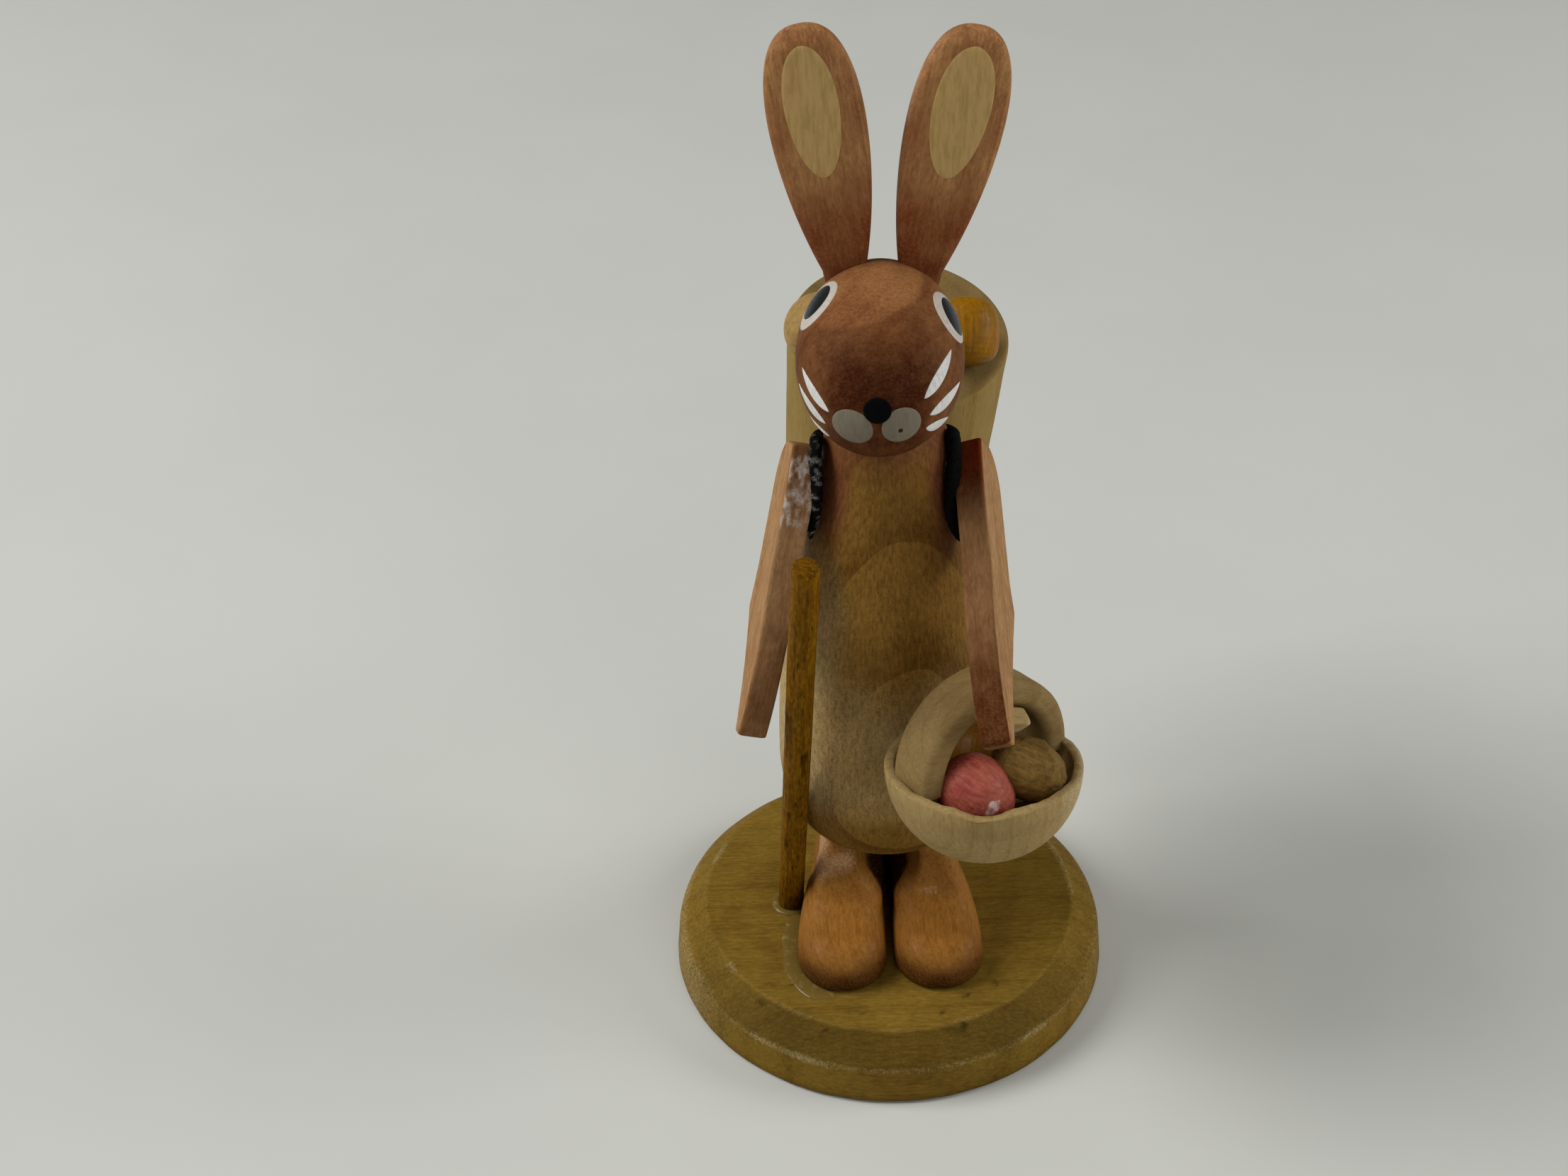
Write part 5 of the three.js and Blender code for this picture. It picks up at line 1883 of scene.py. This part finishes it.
    def _peg(self) -> None:
        """Short whittled peg: a rod squared by a superellipse, with a chipped end."""
        way = np.array(self.peg_to) - np.array(self.peg_from)
        n = float(np.linalg.norm(way))
        corners = [(0, 0), (self.peg_r, 0), (self.peg_r, n), (0, n)]
        form = lathe(eased(corners, radius=0.3, step=0.4), segments=40)
        tip = smooth(form.points[:, 2], n - 0.8, n)
        form.points[:, 2] -= 0.5 * tip * (0.5 + 0.5 * soft_noise(form.points, 0.9, 107))
        flat = form.points[:, :2]
        flat *= (1 + 0.05 * soft_noise(form.points * [1, 1, 0.2], 0.9, 108))[:, None]
        reach = np.linalg.norm(flat, axis=1)
        facing = np.abs(flat) / np.maximum(reach, 1e-3)[:, None]
        corner = np.maximum((facing**self.peg_square).sum(1), 0.1) ** (1 / self.peg_square)
        flat /= np.where(reach > 0.1, corner, 1)[:, None]
        seat = Seat(self.peg_from, stand_on(way))
        peg = Piece("hand_peg_whittled", form.moved(seat))
        peg.paint(Layer.WEAR, 0.5 * fade(peg.places()[:, 2], 65, 68))
        peg.finish(BASKET_WOOD.material(seat, "_peg"), "pale_wood", "hand_peg")


@dataclass
class GlueBead:
    """Run of dried glue along a line on the base, uneven and thin at its ends."""

    name: str
    line: Array
    width: float
    height: float
    rows: int = 110
    cols: int = 24

    def build(self) -> None:
        """Sweeps a flat ellipse along the smoothed line, its size swelling with soft noise."""
        line = smooth_line(self.line, self.rows)
        run = run_along(line)
        ahead = unit(np.gradient(line, axis=0))
        wide = unit(np.cross([0.0, 0.0, 1.0], ahead))
        over = np.cross(ahead, wide)
        swell = 1 + 0.25 * soft_noise(line, 3.0, 111) + 0.08 * soft_noise(line, 1.2, 112)
        swell *= np.clip(np.minimum(run, run[-1] - run) / self.width, 0.02, 1) ** 0.5
        a = circle(self.cols)[:, None]
        section = self.width / 2 * np.cos(a) * wide[:, None] + self.height * np.sin(a) * over[:, None]
        bead = Piece(self.name, skin(line[:, None] + swell[:, None, None] * section))
        bead.finish(CLEAR_GLUE.material())


def lay_glue(base: RoundBase, stick: WalkingStick) -> None:
    """Lays the runs of glue round the left slipper and the foot of the stick.

    Args:
        base: the base that the glue lies on.
        stick: the stick that the second run goes round, as an ellipse.
    """
    top = base.height
    slipper_x = (-14.3, -15.0, -15.6, -15.3, -13.8, -12.0, -9.2)
    slipper_y = (-3.4, -6.2, -11.0, -15.8, -18.8, -20.6, -21.5)
    round_slipper = np.stack([slipper_x, slipper_y, np.full(len(slipper_x), top)], 1)
    GlueBead("glue_round_slipper", round_slipper, width=2.8, height=0.26).build()
    t = np.radians(np.arange(20, 380, 30))
    half_x, half_y = 2.3, 2.4
    stick_x, stick_y = stick.foot[0] + half_x * np.cos(t), stick.foot[1] + half_y * np.sin(t)
    round_stick = np.stack([stick_x, stick_y, np.full(len(t), top)], 1)
    GlueBead("glue_round_stick", round_stick, width=1.6, height=0.4).build()


@dataclass(frozen=True)
class SoftBox:
    """Square area light, sized in millimetres."""

    name: str
    place: Spot
    size: float
    power: float
    colour: Spot = (1.0, 1.0, 0.98)


@dataclass
class Studio:
    """Pale floor, soft lights and the camera."""

    camera_place: Spot = (-15.09, -269.01, 271.24)
    pitch: float = 36.61
    roll: float = -1.6
    focal_px: float = 3322.0
    image_px: float = 2212.0
    sensor_mm: float = 36.0
    clip_m: Span = (0.01, 20.0)
    floor_half: float = 2600.0
    floor_pale: str = "cecfca"
    floor_dark: str = "cbccc6"
    aim: Spot = (0.0, 0.0, 60.0)
    sky: tuple[float, float, float, float] = (0.86, 0.87, 0.86, 1.0)
    sky_strength: float = 0.09
    lights: tuple[SoftBox, ...] = (
        SoftBox("window_left", (-817, 20, 796), size=560, power=9.6, colour=(1.0, 1.0, 0.99)),
        SoftBox("window_right", (997, 20, 525), size=560, power=5.4),
        SoftBox("ceiling", (0, 60, 1200), size=900, power=1.2),
        SoftBox("front_fill", (380, -830, 520), size=700, power=2.4),
    )

    def build(self) -> None:
        """Sets up the stage."""
        self._floor()
        self._camera()
        for box in self.lights:
            self._light(box)
        world = bpy.data.worlds.new("studio")
        world.use_nodes = True
        background = world.node_tree.nodes["Background"]
        background.inputs["Color"].default_value = self.sky
        background.inputs["Strength"].default_value = self.sky_strength
        bpy.context.scene.world = world
        bpy.context.scene.view_settings.view_transform = "Standard"

    def _floor(self) -> None:
        """Wide sheet of pale grey paper, a little uneven in tone."""
        side = np.linspace(-self.floor_half, self.floor_half, 3)
        x, y = np.meshgrid(side, side)
        points = np.stack([x, y, np.zeros_like(x)], -1).reshape(-1, 3) * MM
        quads = [(0, 1, 4, 3), (1, 2, 5, 4), (3, 4, 7, 6), (4, 5, 8, 7)]
        data = bpy.data.meshes.new("floor")
        data.from_pydata(points.tolist(), [], quads)
        floor = bpy.data.objects.new("floor", data)
        bpy.context.scene.collection.objects.link(floor)
        s = NodeSheet("floor_paper")
        tone = s.ranged(s.noise(s.placed(Seat()), PAPER), MIDDLE)
        colour = s.mix(tone, linear(self.floor_pale), linear(self.floor_dark))
        s.surface(colour, roughness=0.85, specular=0.15)
        data.materials.append(s.material)

    def _camera(self) -> None:
        """Camera at the photograph's angle."""
        a, r = np.radians(self.pitch), np.radians(self.roll)
        ahead = np.array([0, np.cos(a), -np.sin(a)])
        level = np.array([1.0, 0, 0])
        above = np.cross(level, ahead)
        right = np.cos(r) * level + np.sin(r) * above
        up = np.cos(r) * above - np.sin(r) * level
        data = bpy.data.cameras.new("camera")
        data.sensor_fit = "HORIZONTAL"
        data.sensor_width = self.sensor_mm
        data.lens = self.focal_px / self.image_px * self.sensor_mm
        data.clip_start, data.clip_end = self.clip_m
        camera = bpy.data.objects.new("camera", data)
        turn = Matrix(np.stack([right, up, -ahead], 1).tolist()).to_4x4()
        camera.matrix_world = Matrix.Translation(Vector(self.camera_place) * MM) @ turn
        bpy.context.scene.collection.objects.link(camera)
        bpy.context.scene.camera = camera

    def _light(self, box: SoftBox) -> None:
        """Soft box aimed at the figure.

        Args:
            box: its place, size and power.
        """
        data = bpy.data.lights.new(box.name, "AREA")
        data.size = box.size * MM
        data.energy = box.power
        data.color = box.colour
        lamp = bpy.data.objects.new(box.name, data)
        lamp.location = Vector(box.place) * MM
        way = Vector(self.aim) * MM - lamp.location
        lamp.rotation_euler = way.to_track_quat("-Z", "Y").to_euler()
        bpy.context.scene.collection.objects.link(lamp)


def dress_dowels(nodes: dict[str, bpy.types.Object]) -> None:
    """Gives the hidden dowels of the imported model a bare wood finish.

    Args:
        nodes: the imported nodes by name.
    """
    bare = DOWEL_WOOD.material(Seat(), "_hidden")
    for name in sorted(nodes):
        if name.endswith("_dowel") or "_dowel_" in name:
            nodes[name].material_slots[0].material = bare


LEFT_STRAP_KNOTS = (
    (61.0, -146.0, 1.0), (63.0, -132.0, 0.9), (64.6, -116.0, 0.8), (65.8, -100.0, 0.8),
    (66.8, -86.0, 0.9), (69.0, -72.0, 2.1), (66.6, -64.0, 2.3), (64.2, -60.0, 2.2),
    (61.8, -56.5, 2.2), (59.2, -55.5, 2.1), (56.4, -58.0, 1.7), (54.0, -62.0, 0.9),
)
RIGHT_STRAP_KNOTS = (
    (61.0, 146.0, 1.0), (63.0, 132.0, 0.8), (64.6, 116.0, 0.6), (65.8, 100.0, 0.4),
    (66.8, 86.0, 0.3), (69.0, 71.0, 1.3), (66.2, 61.5, 1.5), (63.4, 54.0, 1.7),
    (60.8, 48.5, 1.7), (58.6, 47.5, 1.6), (56.2, 50.0, 1.4), (54.0, 54.0, 0.9),
)
# The left arm's sawn front is sprayed lighter as painted light, the right arm's darker as painted shade
LEFT_ARM = Arm(
    Side.LEFT, (-9.3303, -0.6694, 95.3207), across=(-0.1905, 0.9004, -0.3912),
    along=(-0.2135, -0.427, -0.8787), normal=(-0.9582, -0.0838, 0.2736), glued=0.7,
)
RIGHT_ARM = Arm(
    Side.RIGHT, (8.4659, 1.7291, 94.2761), across=(0.3843, 0.5163, -0.7653),
    along=(0.0343, -0.8402, -0.5396), normal=(0.9216, -0.1658, 0.3509),
    length=43.8, elbow_at=23.4, stain=0.56, soiled=0.72,
)


def main() -> None:
    """Builds every piece in order."""
    logging.basicConfig(level=logging.INFO)
    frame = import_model()
    base, trunk, stick = RoundBase(), Trunk(), WalkingStick()
    parts = (
        Studio(),
        base,
        Slipper(Side.LEFT),
        Slipper(Side.RIGHT),
        trunk,
        HareHead(),
        Ear(Side.LEFT, place=(-5.9, 6.1, 119.8), splay=-9.3, lining_x=-0.25),
        Ear(Side.RIGHT, place=(4.1, 6.1, 119.3), splay=11.9, lining_w=7.8, lining_x=0.1),
        LEFT_ARM,
        RIGHT_ARM,
        stick,
        Pannier(),
        Strap(Side.LEFT, trunk, LEFT_STRAP_KNOTS, radius=0.95, dust=0.7),
        Strap(Side.RIGHT, trunk, RIGHT_STRAP_KNOTS),
        HandBasket(),
    )
    for part in parts:
        part.build()
    lay_glue(base, stick)
    dress_dowels(frame["nodes"])


if __name__ == "__main__":
    main()
